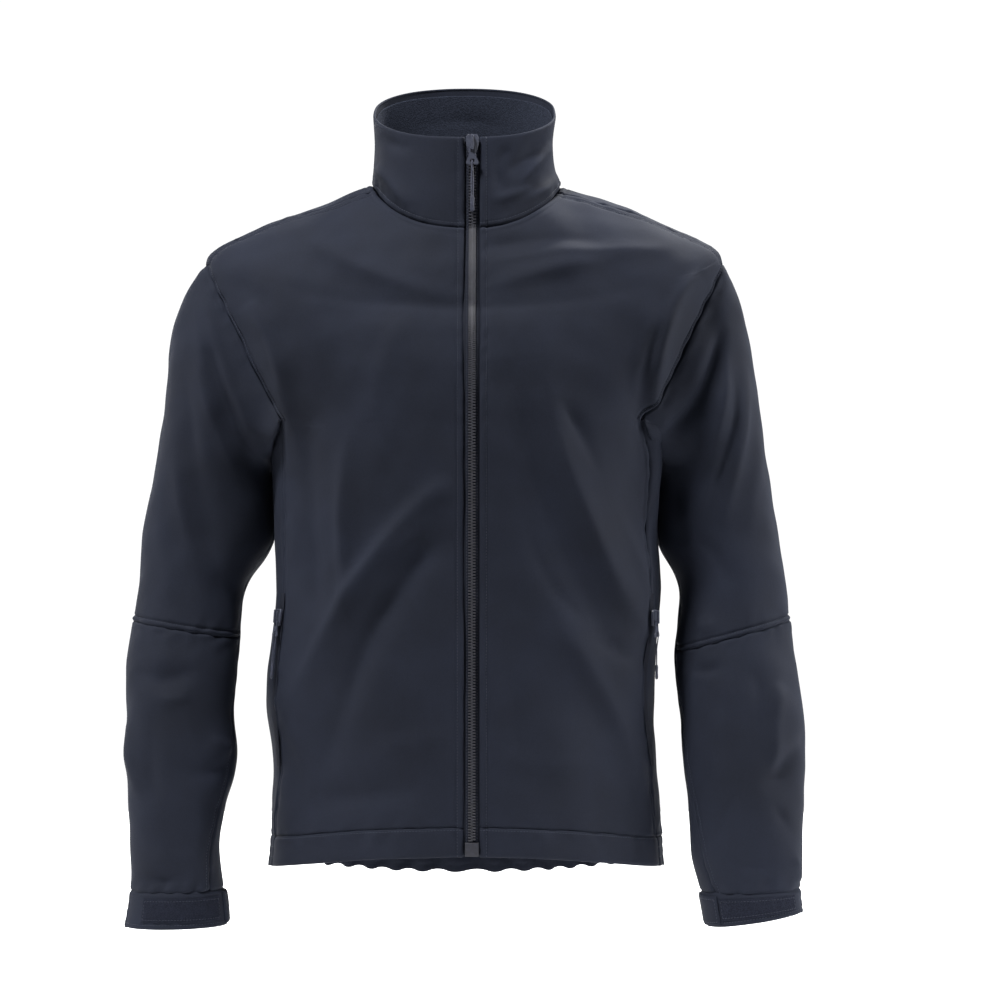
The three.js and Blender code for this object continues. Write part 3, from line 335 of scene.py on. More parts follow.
def signed_power(value, power):
    return np.sign(value) * np.abs(value) ** power


def unit(v):
    return v / np.maximum(np.linalg.norm(v, axis=-1, keepdims=True), 1e-9)


def read(rows, column, s):
    """A column at s, as a smooth curve through all of its rows."""
    xs, ys = rows["s"], rows[column]
    last = len(xs) - 1
    s = np.asarray(s, float)
    i = np.clip(np.searchsorted(xs, s, side="left") - 1, 0, last - 1)
    before = np.maximum(np.arange(last + 1) - 1, 0)
    after = np.minimum(np.arange(last + 1) + 1, last)
    slopes = (ys[after] - ys[before]) / (xs[after] - xs[before])
    span = xs[i + 1] - xs[i]
    t = (s - xs[i]) / span
    rise = t * t * (3 - 2 * t)
    lead = t * (1 - t) * (1 - t) * slopes[i]
    trail = t * t * (t - 1) * slopes[i + 1]
    return mix(ys[i], ys[i + 1], rise) + span * (lead + trail)


def ring_point(rows, angle, s):
    """A smooth point of the body or the collar: angle 0 is the wearer's left side, 90 the front."""
    angle, s = np.broadcast_arrays(np.radians(angle), np.asarray(s, float))
    across, ahead = np.cos(angle), np.sin(angle)
    front = ahead > 0
    depth = np.where(front, read(rows, "chest", s), read(rows, "spine", s))
    middle = np.where(front, read(rows, "front", s), read(rows, "back", s))
    side = read(rows, "side", s)
    x = read(rows, "shift", s) + read(rows, "half", s) * signed_power(across, 2 / ROUNDNESS)
    y = -depth * signed_power(ahead, 2 / ROUNDNESS)
    z = side + (middle - side) * np.abs(ahead) ** read(rows, "bow", s)
    return np.stack([x, y, z], axis=-1)


def angle_at(rows, x, s):
    share = (x - read(rows, "shift", s)) / read(rows, "half", s)
    return np.degrees(np.arccos(signed_power(share, ROUNDNESS / 2)))


def on_side(sign, angle):
    return angle if sign > 0 else 180 - angle


LARGE_FOLD = 3.0  # folds lower than this are only here, and are drawn a little stronger
FINE_GAIN = 1.5
LARGE_GAIN = 1.3
FOLD_STEPS = 120


def ridge_profile(square):
    """A fold's height across it: a broad swell with a narrower crest."""
    return 0.65 * np.exp(-square) + 0.35 * np.exp(-square / 0.25)


def fold_height(rows, x, z, facing):
    """How far folds push out points whose smooth normal faces the front by `facing`."""
    height = np.zeros_like(x)
    steps = np.linspace(0, 1, FOLD_STEPS)
    for n, fold in enumerate(rows):
        near = facing * fold["face"] > 0
        for value, keys in ((x, ("x0", "x1", "x2")), (z, ("z0", "z1", "z2"))):
            ends = [fold[key] for key in keys]
            near &= (value > min(ends) - 3 * fold["width"]) & (value < max(ends) + 3 * fold["width"])
        if not near.any():
            continue
        bend = 4 * steps * (1 - steps)
        line_x = mix(fold["x0"], fold["x2"], steps) + bend * (fold["x1"] - (fold["x0"] + fold["x2"]) / 2)
        line_z = mix(fold["z0"], fold["z2"], steps) + bend * (fold["z1"] - (fold["z0"] + fold["z2"]) / 2)
        dx = x[near][:, None] - line_x
        dz = z[near][:, None] - line_z
        distance = dx * dx + dz * dz
        place = distance.argmin(axis=1)
        picked = np.arange(len(place))
        along_x = np.gradient(line_x)[place]
        along_z = np.gradient(line_z)[place]
        side = np.sign(along_x * dz[picked, place] - along_z * dx[picked, place])
        width = fold["width"] * (1 + 0.8 * fold["lean"] * side)
        t = steps[place]
        taper = np.sin(np.pi * mix(0.015, 0.985, t)) ** 0.6
        uneven = 1 + 0.18 * np.sin(9 * t + 1.7 * n)
        fade = smoothstep(facing[near] * fold["face"], 0, 0.35)
        gain = FINE_GAIN if abs(fold["height"]) < LARGE_FOLD else LARGE_GAIN
        profile = ridge_profile(distance[picked, place] / width**2)
        height[near] += gain * fold["height"] * taper * uneven * fade * profile
    return height


def waves(seed, count, shortest, longest):
    """Directions, wavelengths and phases of a gentle uneven surface, the same on every run."""
    rng = np.random.default_rng(seed)
    direction = unit(rng.normal(size=(count, 3)) * np.array([1, 0.6, 0.75]))
    length = rng.uniform(shortest, longest, count)
    return direction * (2 * np.pi / length)[:, None], rng.uniform(0, 2 * np.pi, count)


SOFT_WAVES = waves(11, 9, 70, 190)
FINE_WAVES = waves(12, 14, 22, 60)


def unevenness(points, size=1.0):
    flat = points.reshape(-1, 3)
    out = np.zeros(len(flat))
    for (directions, phases), amplitude in ((SOFT_WAVES, 0.5), (FINE_WAVES, 0.13)):
        for direction, phase in zip(directions, phases):
            out += amplitude * np.sin(flat @ direction + phase)
    return out.reshape(points.shape[:-1]) * size


def normal_of(surface, a, b, step_a, step_b):
    along_a = surface(a + step_a, b) - surface(a - step_a, b)
    along_b = surface(a, b + step_b) - surface(a, b - step_b)
    return unit(np.cross(along_a, along_b))


def folded(smooth, rows, step_a, sign=1, settle=None, size=1.0):
    def surface(a, b):
        a, b = np.broadcast_arrays(np.asarray(a, float), np.asarray(b, float))
        point = smooth(a, b)
        normal = normal_of(smooth, a, b, step_a, 1.0) * sign
        height = fold_height(rows, point[..., 0] * sign, point[..., 2], -normal[..., 1])
        height = height + unevenness(point, size)
        if settle:
            height = height * settle(b)
        return point + normal * height[..., None]

    return surface


def body_smooth(angle, s):
    return ring_point(BODY, angle, s)


def collar_smooth(angle, s):
    return ring_point(COLLAR, angle, s)


body = folded(body_smooth, BODY_FOLDS, -0.5)
collar = folded(collar_smooth, COLLAR_FOLDS, -0.5, size=0.5)

# The cap runs from the armhole to the first ring, leaving the shoulder outwards and down.
CAP_START = {"left": 0.48, "right": 0.8, "side": 0.12, "down": 0.9, "under": 0.25}
UNDER_ARM_SWELL = 6.0
TURNS = np.arange(0, 361, 1.0)


def armhole_line(sign):
    angle = on_side(sign, read(ARMHOLE, "angle", TURNS))
    points = body(angle, read(ARMHOLE, "up", TURNS))
    points[-1] = points[0]
    return points


ARMHOLE_LINE = {name: armhole_line(sign) for name, sign in SIDES}


def armhole_point(name, turn):
    round_turn = np.mod(turn, 360)
    line = ARMHOLE_LINE[name]
    return np.stack([np.interp(round_turn, TURNS, line[:, k]) for k in range(3)], axis=-1)


def sleeve_ring(name, sign, turn, s):
    rows = SLEEVE[name]
    across = signed_power(np.cos(np.radians(turn)), 2 / SLEEVE_ROUNDNESS)
    ahead = signed_power(np.sin(np.radians(turn)), 2 / SLEEVE_ROUNDNESS)
    share = (across + 1) / 2
    x = mix(read(rows, "innerX", s), read(rows, "outerX", s), share)
    z = mix(read(rows, "innerZ", s), read(rows, "outerZ", s), share)
    y = read(rows, "y", s) - read(rows, "depth", s) * ahead
    return np.stack([sign * x, y, z], axis=-1)


def under_arm(turn):
    return smoothstep(-np.cos(np.radians(turn)), 0.3, 0.75)


def sleeve_smooth(name, sign):
    def smooth(turn, s):
        turn, s = np.broadcast_arrays(np.asarray(turn, float), np.asarray(s, float))
        ring = sleeve_ring(name, sign, turn, np.maximum(s, 0))
        start = armhole_point(name, turn)
        end = sleeve_ring(name, sign, turn, np.zeros_like(s))
        length = np.linalg.norm(end - start, axis=-1, keepdims=True)
        t = np.clip(1 + s / CAP_LENGTH, 0, 1)[..., None]
        away = mix(CAP_START[name], CAP_START["under"], under_arm(turn))
        push = np.sin(np.radians(turn))
        down = np.full_like(away, -CAP_START["down"])
        leave = unit(np.stack([sign * away, -CAP_START["side"] * push, down], axis=-1)) * length
        arrive = unit(sleeve_ring(name, sign, turn, np.full_like(s, 4.0)) - end) * length
        cap = mix(start, end, t * t * (3 - 2 * t)) + leave * t * (1 - t) ** 2 + arrive * t * t * (t - 1)
        points = np.where((s < 0)[..., None], cap, ring)
        points[..., 0] -= sign * UNDER_ARM_SWELL * under_arm(turn) * np.exp(-(((s + 80) / 38) ** 2))
        return points

    return smooth


def seam_allowance(sign, edge):
    """Rows of a sleeve's cloth turned in along the armhole, from the deepest one to the seam."""
    inward = unit(np.array([sign * 140.0, 0.0, -150.0]) - edge)
    return np.stack([edge + inward * depth for depth in (6.0, 3.0, 1.0)], axis=1)


def turned_in(edge, normals):
    """Rows of a band's cloth that turn in and up behind its top seam."""
    rows = [edge - normals * depth for depth in (1.2, 2.2, 2.6)]
    return np.stack(rows, axis=1) + np.array([(0, 0, 1.0), (0, 0, 3.0), (0, 0, 6.0)])


def settle_at_armhole(s):
    return smoothstep(s, -CAP_LENGTH, -CAP_LENGTH * 0.75)


SLEEVE_SMOOTH = {name: sleeve_smooth(name, sign) for name, sign in SIDES}
SLEEVES = {
    name: folded(SLEEVE_SMOOTH[name], SLEEVE_FOLDS[name], 1.0, sign, settle_at_armhole)
    for name, sign in SIDES
}


# Distances from an edge, in millimetres, at which a fine grid has points.
EDGE_STEPS = (0, 0.7, 1.5, 2.5, 3.7, 5.0, 6.0, 7.0, 8.2, 10.0)


def shares(length, spacing, low=True, high=True):
    """Places from 0 to 1 along a piece, closer together at the ends that are seams or edges."""
    ends = [d / length for d in EDGE_STEPS]
    first = ends if low else [0.0]
    last = [1 - d for d in reversed(ends)] if high else [1.0]
    count = max(2, round((last[0] - first[-1]) * length / spacing))
    inner = list(np.linspace(first[-1], last[0], count + 1))[1:-1]
    return np.array(first + inner + last)


def grid_normals(points, closed=False):
    if closed:
        wrapped = np.concatenate([points[-1:], points, points[:1]])
        along_u = np.gradient(wrapped, axis=0)[1:-1]
    else:
        along_u = np.gradient(points, axis=0)
    return unit(np.cross(along_u, np.gradient(points, axis=1)))


def arc(points, axis):
    """Distance along the grid's lines from their start, and each line's whole length."""
    step = np.linalg.norm(np.diff(points, axis=axis), axis=-1)
    zero = np.zeros_like(np.take(step, [0], axis=axis))
    run = np.concatenate([zero, np.cumsum(step, axis=axis)], axis=axis)
    return run, np.take(run, [-1], axis=axis)


class Panel:
    """A grid of points on a surface, its normals, and its distances from its four edges."""

    def __init__(self, points, inward_of, closed=False):
        self.points, self.closed, self.outward = points, closed, 1.0
        middle = tuple(n // 2 for n in points.shape[:2])
        normal = grid_normals(points, closed)[middle]
        if np.dot(normal, points[middle] - inward_of(points[middle])) < 0:
            self.outward = -1.0
        self.measure()

    def measure(self):
        self.normals = grid_normals(self.points, self.closed) * self.outward
        run_u, whole_u = arc(self.points, 0)
        run_v, whole_v = arc(self.points, 1)
        self.edge = {"start": run_u, "end": whole_u - run_u, "low": run_v, "high": whole_v - run_v}

    def shape(self, height, drop=0.0, hidden=None):
        """Pushes the points out along their normals, lets them down by a drop, and adds the rows of
        cloth that `hidden` makes."""
        self.points = self.points + self.normals * np.asarray(height)[..., None]
        self.points[..., 2] -= drop
        if hidden:
            self.points = np.concatenate(hidden(self), axis=1)
        self.measure()

    def nearest(self, *edges):
        return np.minimum.reduce([self.edge[edge] for edge in edges])

    def stitch(self, edge, distance, start=0, stop=None):
        """Sews a line of stitches at a distance from an edge."""
        run = self.edge[edge]
        along = edge in ("start", "end")
        back = -1 if edge in ("end", "high") else 1
        line = []
        for k in range(run.shape[1 if along else 0]):
            take = (slice(None, None, back), k) if along else (k, slice(None, None, back))
            both = np.concatenate([self.points[take], self.normals[take]], axis=-1)
            line.append([np.interp(distance, run[take], column) for column in both.T])
        line = np.array(line)[start:stop]
        add_stitches(line[:, :3], unit(line[:, 3:]))


def groove(distance, place, depth, width):
    return -depth * np.exp(-(((distance - place) / width) ** 2))


def stitched(distance, place=6.0, depth=1.4):
    """The cloth beside a seam that is stitched down: a full welt, then a sharp dip."""
    welt = 0.55 * np.exp(-(((distance - place / 2) / (place * 0.32)) ** 2))
    return welt + groove(distance, place, depth, 1.2)


def seam_edge(distance, depth=1.3, width=1.4):
    """Cloth rolls in at a seam."""
    return groove(distance, 0, depth, width)


def rolled(*distances):
    return sum(seam_edge(distance) for distance in distances)


def pucker(panel, distance, seed, height, reach, wavelength=15.0):
    """Short uneven wrinkles that run away from a stitched line."""
    directions, phases = waves(seed, 5, wavelength * 0.7, wavelength * 1.6)
    flat = panel.points.reshape(-1, 3)
    total = sum(np.sin(flat @ d + p) for d, p in zip(directions, phases))
    return height * 0.5 * total.reshape(distance.shape) * np.exp(-((distance / reach) ** 2))


def wall_mesh(outer, inner, closed, rounding):
    """Vertices and faces of a wall between two grids, with rounded rims."""
    columns, rows = outer.shape[:2]
    middle = (outer + inner) / 2
    wide = columns if closed else columns + 2
    rim = np.full((wide, rows + 2, 3), np.nan)
    inside = slice(0, wide) if closed else slice(1, -1)
    for end, beside in ((0, 1), (-1, -2)):
        rim[inside, end] = middle[:, end] + unit(outer[:, end] - outer[:, beside]) * rounding
        if not closed:
            rim[end, 1:-1] = middle[end] + unit(outer[end] - outer[beside]) * rounding
    if not closed:
        for (i, next_i), (j, next_j) in itertools.product(((0, 1), (-1, -2)), repeat=2):
            rim[i, j] = (rim[i, next_j] + rim[next_i, j]) / 2
    ids = np.full((wide, rows + 2), -1)
    border = ~np.isnan(rim[..., 0])
    count = columns * rows
    ids[border] = 2 * count + np.arange(border.sum())
    top, under = ids.copy(), ids.copy()
    top[inside, 1:-1] = np.arange(count).reshape(columns, rows)
    under[inside, 1:-1] = count + top[inside, 1:-1]

    def quads(grid):
        following = np.roll(grid, -1, axis=0) if closed else grid[1:]
        here = grid if closed else grid[:-1]
        corners = (here[:, :-1], following[:, :-1], following[:, 1:], here[:, 1:])
        return np.stack(corners, axis=-1).reshape(-1, 4)

    vertices = np.concatenate([outer.reshape(-1, 3), inner.reshape(-1, 3), rim[border]])
    return vertices, np.concatenate([quads(top), quads(under)[:, ::-1]])


def make_object(name, vertices, faces, material, smooth=True):
    """A mesh object from arrays in millimetres, with its faces out."""
    signed = 0
    for corners in ((0, 1, 2), (0, 2, 3))[: faces.shape[1] - 2]:
        a, b, c = (vertices[faces[:, k]] for k in corners)
        signed += np.einsum("ij,ij->", a, np.cross(b, c))
    if signed < 0:
        faces = faces[:, ::-1]
    mesh = bpy.data.meshes.new(name)
    mesh.from_pydata(vertices * MM, [], faces)
    mesh.polygons.foreach_set("use_smooth", np.full(len(faces), smooth))
    mesh.validate()
    mesh.materials.append(material)
    return placed(name, mesh)


def placed(name, data):
    obj = bpy.data.objects.new(name, data)
    bpy.context.scene.collection.objects.link(obj)
    return obj


def hand_over(obj, slot, *nodes, body_name="jacket"):
    """Says what a piece rides on and which CAD nodes it replaces; its material slot is not used."""
    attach(obj, body_name)
    if nodes:
        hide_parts(*nodes)


def cloth(name, panel, node, slot="softshell", thickness=CLOTH, rounding=None):
    """Finishes a panel as a thin wall that replaces its CAD node."""
    rounding = thickness * 0.28 if rounding is None else rounding
    inner = panel.points - panel.normals * thickness
    mesh = wall_mesh(panel.points, inner, panel.closed, rounding)
    obj = make_object(name, *mesh, MATERIALS[slot])
    hand_over(obj, slot, node)


STITCH = {"pitch": 3.0, "length": 2.3, "radius": 0.26, "lift": 0.05, "sides": 5}
stitches = []


def add_stitches(points, normals):
    """Stitches along a line; they are made into one mesh at the end."""
    run, whole = arc(points, 0)
    count = int(float(whole[0]) // STITCH["pitch"])
    middles = (np.arange(count) + 0.5) * float(whole[0]) / count
    half = STITCH["length"] / 2

    def at(places, values):
        return np.stack([np.interp(places, run, column) for column in values.T], axis=-1)

    stitches.append((at(middles - half, points), at(middles + half, points), unit(at(middles, normals))))


def stitch_mesh(low, high, normal):
    """Each stitch is a short bead, waisted into the cloth at its ends."""
    along = high - low
    side = unit(np.cross(along, normal))
    sides = STITCH["sides"]
    rings, faces = [], []
    for t, width, rise in ((0.0, 0.3, -0.2), (0.22, 0.95, 0.05), (0.78, 0.95, 0.05), (1.0, 0.3, -0.2)):
        centre = low + along * t + normal * (STITCH["lift"] + rise)
        for turn in 2 * np.pi * np.arange(sides) / sides:
            rings.append(centre + STITCH["radius"] * width * (side * np.cos(turn) + normal * np.sin(turn)))
    last = len(rings) - sides
    for first in range(0, last, sides):
        for k in range(sides):
            a, b = first + k, first + (k + 1) % sides
            faces.append((a, b, b + sides, a + sides))
    faces += [(0, 4, 2, 1), (4, 3, 2, 2), (last, last + 1, last + 2, last + 4)]
    faces.append((last + 4, last + 2, last + 3, last + 3))
    return np.stack(rings, axis=1), triangles_of(np.array(faces))


def triangles_of(faces):
    """Quads and triangles given as quads with a repeated corner, all as triangles."""
    both = np.concatenate([faces[:, [0, 1, 2]], faces[:, [0, 2, 3]]])
    keep = (both[:, 0] != both[:, 1]) & (both[:, 1] != both[:, 2]) & (both[:, 0] != both[:, 2])
    return both[keep]


def repeated(copies, faces):
    """Joins copies of one shape, given as an array of their vertices, one row for each copy."""
    count, size = copies.shape[:2]
    shifts = (np.arange(count) * size)[:, None, None]
    return copies.reshape(-1, 3), (faces[None] + shifts).reshape(-1, faces.shape[1])


def srgb(red, green, blue):
    """A colour given as it looks on a screen, from 0 to 255, as Blender's linear light."""
    linear = [c / 3294.6 if c <= 10.314 else ((c / 255 + 0.055) / 1.055) ** 2.4 for c in (red, green, blue)]
    return (*linear, 1.0)


class Nodes:
    """A material's node tree, with short ways to add and join nodes."""

    def __init__(self, name, **values):
        self.material = bpy.data.materials.new(name)
        self.material.use_nodes = True
        self.tree = self.material.node_tree
        self.shader = self.tree.nodes["Principled BSDF"]
        self.place = self.add("ShaderNodeTexCoord").outputs["Object"]
        for key, value in values.items():
            self.shader.inputs[key.replace("_", " ")].default_value = value

    def add(self, kind, **values):
        node = self.tree.nodes.new(kind)
        for key, value in values.items():
            if hasattr(node, key):
                setattr(node, key, value)
            else:
                node.inputs[key.replace("_", " ")].default_value = value
        return node

    def link(self, source, target):
        self.tree.links.new(source, target)

    def noise(self, scale, detail, roughness=0.5):
        node = self.add("ShaderNodeTexNoise", Scale=scale, Detail=detail, Roughness=roughness)
        self.link(self.place, node.inputs["Vector"])
        return node.outputs["Fac"]

    def stripes(self, scale, distortion, direction):
        node = self.add("ShaderNodeTexWave", Scale=scale, Distortion=distortion, bands_direction=direction)
        self.link(self.place, node.inputs["Vector"])
        return node.outputs["Fac"]

    def colour(self, source, *stops):
        """The base colour, from a ramp over a value."""
        node = self.add("ShaderNodeValToRGB")
        for element, (position, colour) in zip(node.color_ramp.elements, stops):
            element.position = position
            element.color = colour
        self.link(source, node.inputs["Fac"])
        self.link(node.outputs["Color"], self.shader.inputs["Base Color"])

    def relief(self, *layers):
        """The surface's small relief: each layer is a height, its strength and its distance."""
        normal = None
        for height, strength, distance in layers:
            node = self.add("ShaderNodeBump", Strength=strength, Distance=distance)
            self.link(height, node.inputs["Height"])
            if normal is not None:
                self.link(normal, node.inputs["Normal"])
            normal = node.outputs["Normal"]
        self.link(normal, self.shader.inputs["Normal"])

    def roughness(self, source, low, high):
        node = self.add("ShaderNodeMapRange", To_Min=low, To_Max=high)
        self.link(source, node.inputs["Value"])
        self.link(node.outputs["Result"], self.shader.inputs["Roughness"])

    def math(self, kind, a, b):
        node = self.add("ShaderNodeMath", operation=kind)
        for socket, value in zip(node.inputs, (a, b)):
            if isinstance(value, float):
                socket.default_value = value
            else:
                self.link(value, socket)
        return node.outputs[0]

    def blend(self, a, share_a, b, share_b):
        return self.math("ADD", self.math("MULTIPLY", a, share_a), self.math("MULTIPLY", b, share_b))


def softshell(name, dark, light, roughness):
    """A tight plain weave with a soft nap: fine threads, small slubs and a slow change of tone."""
    n = Nodes(name, Sheen_Weight=0.02, Sheen_Roughness=0.45, Sheen_Tint=srgb(150, 160, 190),
              Specular_IOR_Level=0.12)
    tone = n.noise(9, 4, 0.6)
    n.colour(n.blend(tone, 0.55, n.noise(900, 2, 0.7), 0.45), (0.35, dark), (0.65, light))
    weave = n.math("MULTIPLY", n.stripes(420, 1.5, "X"), n.stripes(420, 1.5, "Z"))
    nap, slubs = n.noise(1500, 3, 0.65), n.noise(70, 3, 0.55)
    n.relief((weave, 0.28, 0.0002), (nap, 0.35, 0.00025), (slubs, 0.18, 0.0012))
    n.roughness(tone, roughness - 0.05, roughness + 0.07)
    return n.material


def pile(name, dark, light, scale):
    """Fleece or loop pile: a dense tangle of small tufts."""
    n = Nodes(name, Roughness=0.95, Sheen_Weight=0.02, Sheen_Roughness=0.6, Sheen_Tint=srgb(120, 130, 160),
              Specular_IOR_Level=0.08)
    tufts = n.add("ShaderNodeTexVoronoi", Scale=scale)
    n.link(n.place, tufts.inputs["Vector"])
    both = n.blend(tufts.outputs["Distance"], 0.6, n.noise(scale * 0.9, 4, 0.7), 0.6)
    n.colour(both, (0.3, dark), (0.75, light))
    n.relief((both, 0.75, 0.0006))
    return n.material


def ribbed(name, dark, light, scale, distortion, relief, **finish):
    """Woven tape or twisted thread, with fine slanting ribs."""
    n = Nodes(name, **finish)
    ribs = n.stripes(scale, distortion, "DIAGONAL")
    n.colour(ribs, (0.2, dark), (0.8, light))
    n.relief((ribs, *relief))
    return n.material


def moulded(name, dark, light, roughness):
    """Satin moulded plastic, a little uneven, with faint scuffs."""
    n = Nodes(name, Specular_IOR_Level=0.5)
    n.colour(n.noise(260, 3, 0.6), (0.35, dark), (0.7, light))
    n.roughness(n.noise(500, 4, 0.7), roughness - 0.08, roughness + 0.12)
    n.relief((n.noise(1800, 2, 0.6), 0.2, 0.0001))
    return n.material


SLIDER_PLASTIC = moulded("slider_finish", srgb(48, 51, 64), srgb(62, 66, 80), 0.36)
CORD = moulded("cord_and_end", srgb(44, 47, 60), srgb(66, 69, 84), 0.4)
THREAD = ribbed("thread", srgb(34, 38, 50), srgb(50, 55, 70), 700, 1.0, (0.4, 0.0001), Roughness=0.6,
                Specular_IOR_Level=0.3)
MATERIALS = {
    "softshell": softshell("softshell", srgb(25, 28, 37), srgb(32, 36, 48), 0.8),
    "facing": pile("fleece_back", srgb(25, 28, 36), srgb(40, 44, 55), 700),
    "loop_pile": pile("loop_pile", srgb(14, 16, 22), srgb(32, 35, 46), 900),
    "zip_tape": ribbed("zip_tape", srgb(20, 22, 30), srgb(31, 34, 44), 520, 0.6, (0.5, 0.0002),
                       Roughness=0.85, Specular_IOR_Level=0.12),
    "zip_plastic": moulded("zip_plastic", srgb(27, 28, 36), srgb(37, 38, 49), 0.55),
}


def body_axis(point):
    return np.array([0, 0, point[2]])


def outer_edge(last_turn):
    """The outer edge of a body panel: its own place, even height, height along the side, and angle."""
    side, arm, top = shares(410, 6.5), shares(250, 5.5), shares(190, 5.5)
    t = np.concatenate([side, 1 + arm[1:], 2 + top[1:]])
    even = np.interp(t, (0, 1, 2, 3), (HEM_SEAM, FOOT_UP, SHOULDER_POINT, NECK_SEAM))
    turn = mix(ARMHOLE_FOOT, last_turn, np.clip(t - 1, 0, 1))
    on_arm = (t > 1) & (t <= 2)
    s = np.where(on_arm, read(ARMHOLE, "up", turn), even)
    straight = np.where(t <= 1, read(SIDE_SEAM, "angle", s), read(SHOULDER_SEAM, "angle", s))
    return t, even, s, np.where(on_arm, read(ARMHOLE, "angle", turn), straight)


# How far lines of stitches lie from their edges.
TOPSTITCH = 6.0
SHOULDER_STITCH = 10.0
ZIP_STITCH = 7.2
HEM_STITCH = 2.6
COLLAR_STITCH = 5.0
CUFF_STITCH = 4.0
HEM_TUNNELS = (9, 19)
CUFF_TUNNELS = (9, 18, 27)
DIP = (0.5, 1.1)  # how deep and how wide a line of stitches sinks into the cloth


def zip_fold(distance):
    """The folded edge beside the zip: rounded over, with a slight welt up to its stitching."""
    rounded = -1.5 * np.clip(1 - distance / 2.2, 0, 1) ** 2
    welt = 0.45 * np.exp(-(((distance - 3.6) / 2.2) ** 2))
    return rounded + welt + groove(distance, ZIP_STITCH, 0.7, 1.1)


def build_fronts():
    t, even, edge_s, edge_angle = outer_edge(0)
    arm_low, arm_high = np.searchsorted(t, (1.0, 2.0))
    on_side_seam, on_shoulder = t < 1, t >= 2
    u = shares(255, 4.6)[:, None]
    for name, sign in SIDES:
        s = mix(even, edge_s, u**3)
        zip_angle = angle_at(BODY, ZIP_X + sign * ZIP_OPENING / 2, s)
        panel = Panel(body(mix(zip_angle, on_side(sign, edge_angle), u), s), body_axis)
        start, end, low, high = panel.edge.values()
        sewn = np.where(on_side_seam, groove(end, TOPSTITCH, *DIP), stitched(end))
        height = zip_fold(start) + rolled(end, high, low) + groove(high, TOPSTITCH, *DIP)
        height += np.where(on_shoulder, stitched(end, SHOULDER_STITCH), sewn)
        height += pucker(panel, end, 21 + sign, 0.6, 12) + pucker(panel, start, 31 + sign, 0.34, 9, 13)
        panel.shape(height + pucker(panel, low, 41 + sign, 0.4, 12, 17))
        panel.stitch("start", ZIP_STITCH)
        panel.stitch("end", TOPSTITCH, arm_low, arm_high + 1)
        panel.stitch("end", SHOULDER_STITCH, arm_high + 2)
        cloth(f"front_panel_{name}", panel, f"front_{name}")


def build_back():
    _, even, edge_s, edge_angle = outer_edge(360)
    u = shares(470, 5.2)[:, None]
    s = mix(even, edge_s, np.abs(2 * u - 1) ** 3)
    panel = Panel(body(mix(edge_angle, -180 - edge_angle, u), s), body_axis)
    start, end, low, high = panel.edge.values()
    outer = np.minimum(start, end)
    height = rolled(outer, high, low) + groove(high, TOPSTITCH, *DIP) + pucker(panel, outer, 51, 0.6, 12)
    panel.shape(height + pucker(panel, low, 52, 1.1, 22, 19))
    cloth("back_panel", panel, "back")


def pinched(distance, places):
    """1 along the lines of stitches that hold elastic, and 0 away from them."""
    return sum(groove(distance, place, -1, 1.3) for place in places)


def build_hems():
    v = shares(30, 3.0)[None, :]
    s = mix(0, HEM_SEAM, v)
    side = read(SIDE_SEAM, "angle", s)
    for name, sign in SIDES:
        u = shares(205, 4.0)[:, None]
        zip_angle = angle_at(BODY, ZIP_X + sign * ZIP_OPENING / 2, s)
        panel = Panel(body(mix(zip_angle, on_side(sign, side), u), s), body_axis)
        start, end, low, high = panel.edge.values()
        height = 0.9 * smoothstep(end, 0, 14) + seam_edge(high, 1.5) + seam_edge(end) + seam_edge(low, 0.9)
        height += zip_fold(start) + groove(high, HEM_STITCH, 0.3, 0.8)
        panel.shape(height + pucker(panel, high, 61 + sign, 0.55, 16, 14))
        panel.stitch("high", HEM_STITCH)
        panel.stitch("start", ZIP_STITCH)
        cloth(f"hem_band_{name}", panel, f"hem_front_{name}", thickness=HEM_CLOTH)
    u = shares(430, 1.25)[:, None]
    panel = Panel(body(mix(side, -180 - side, u), s), body_axis)
    start, end, low, high = panel.edge.values()
    turns = 2 * np.pi * u
    fade = np.minimum(1, 8 * np.minimum(u, 1 - u))
    drift = 0.56 * np.sin(2.3 * turns + 1) + 0.32 * np.sin(5.1 * turns)
    wave = signed_power(np.sin(HEM_WAVES * turns + drift + 0.5 * np.sin(5 * v + 9 * u)), 0.8) * fade
    height = wave * HEM_WAVE_HEIGHT * (0.85 + 0.25 * np.sin(7.3 * turns + 0.6)) * (1 - 0.45 * v)
    pinch = pinched(low, HEM_TUNNELS)
    height = height * (1 - 0.45 * pinch) - 0.5 * pinch + seam_edge(high, 1.2) + rolled(start, end)
    panel.shape(height, HEM_SAG * wave * (1 - v) ** 3,
                lambda p: [p.points, turned_in(p.points[:, -1], p.normals[:, -1])])
    for place in HEM_TUNNELS:
        panel.stitch("low", place)
    cloth("hem_gathered", panel, "hem_back", thickness=2.0)


def collar_panel(low, high, reach, rows):
    """A panel round the collar, from one side of the zip to the other."""
    u, s = shares(440, 2.8)[:, None], mix(low, high, rows)[None, :]
    start, end = angle_at(COLLAR, ZIP_X + reach, s), angle_at(COLLAR, ZIP_X - reach, s) - 360
    return Panel(collar(mix(start, end, u), s), body_axis)


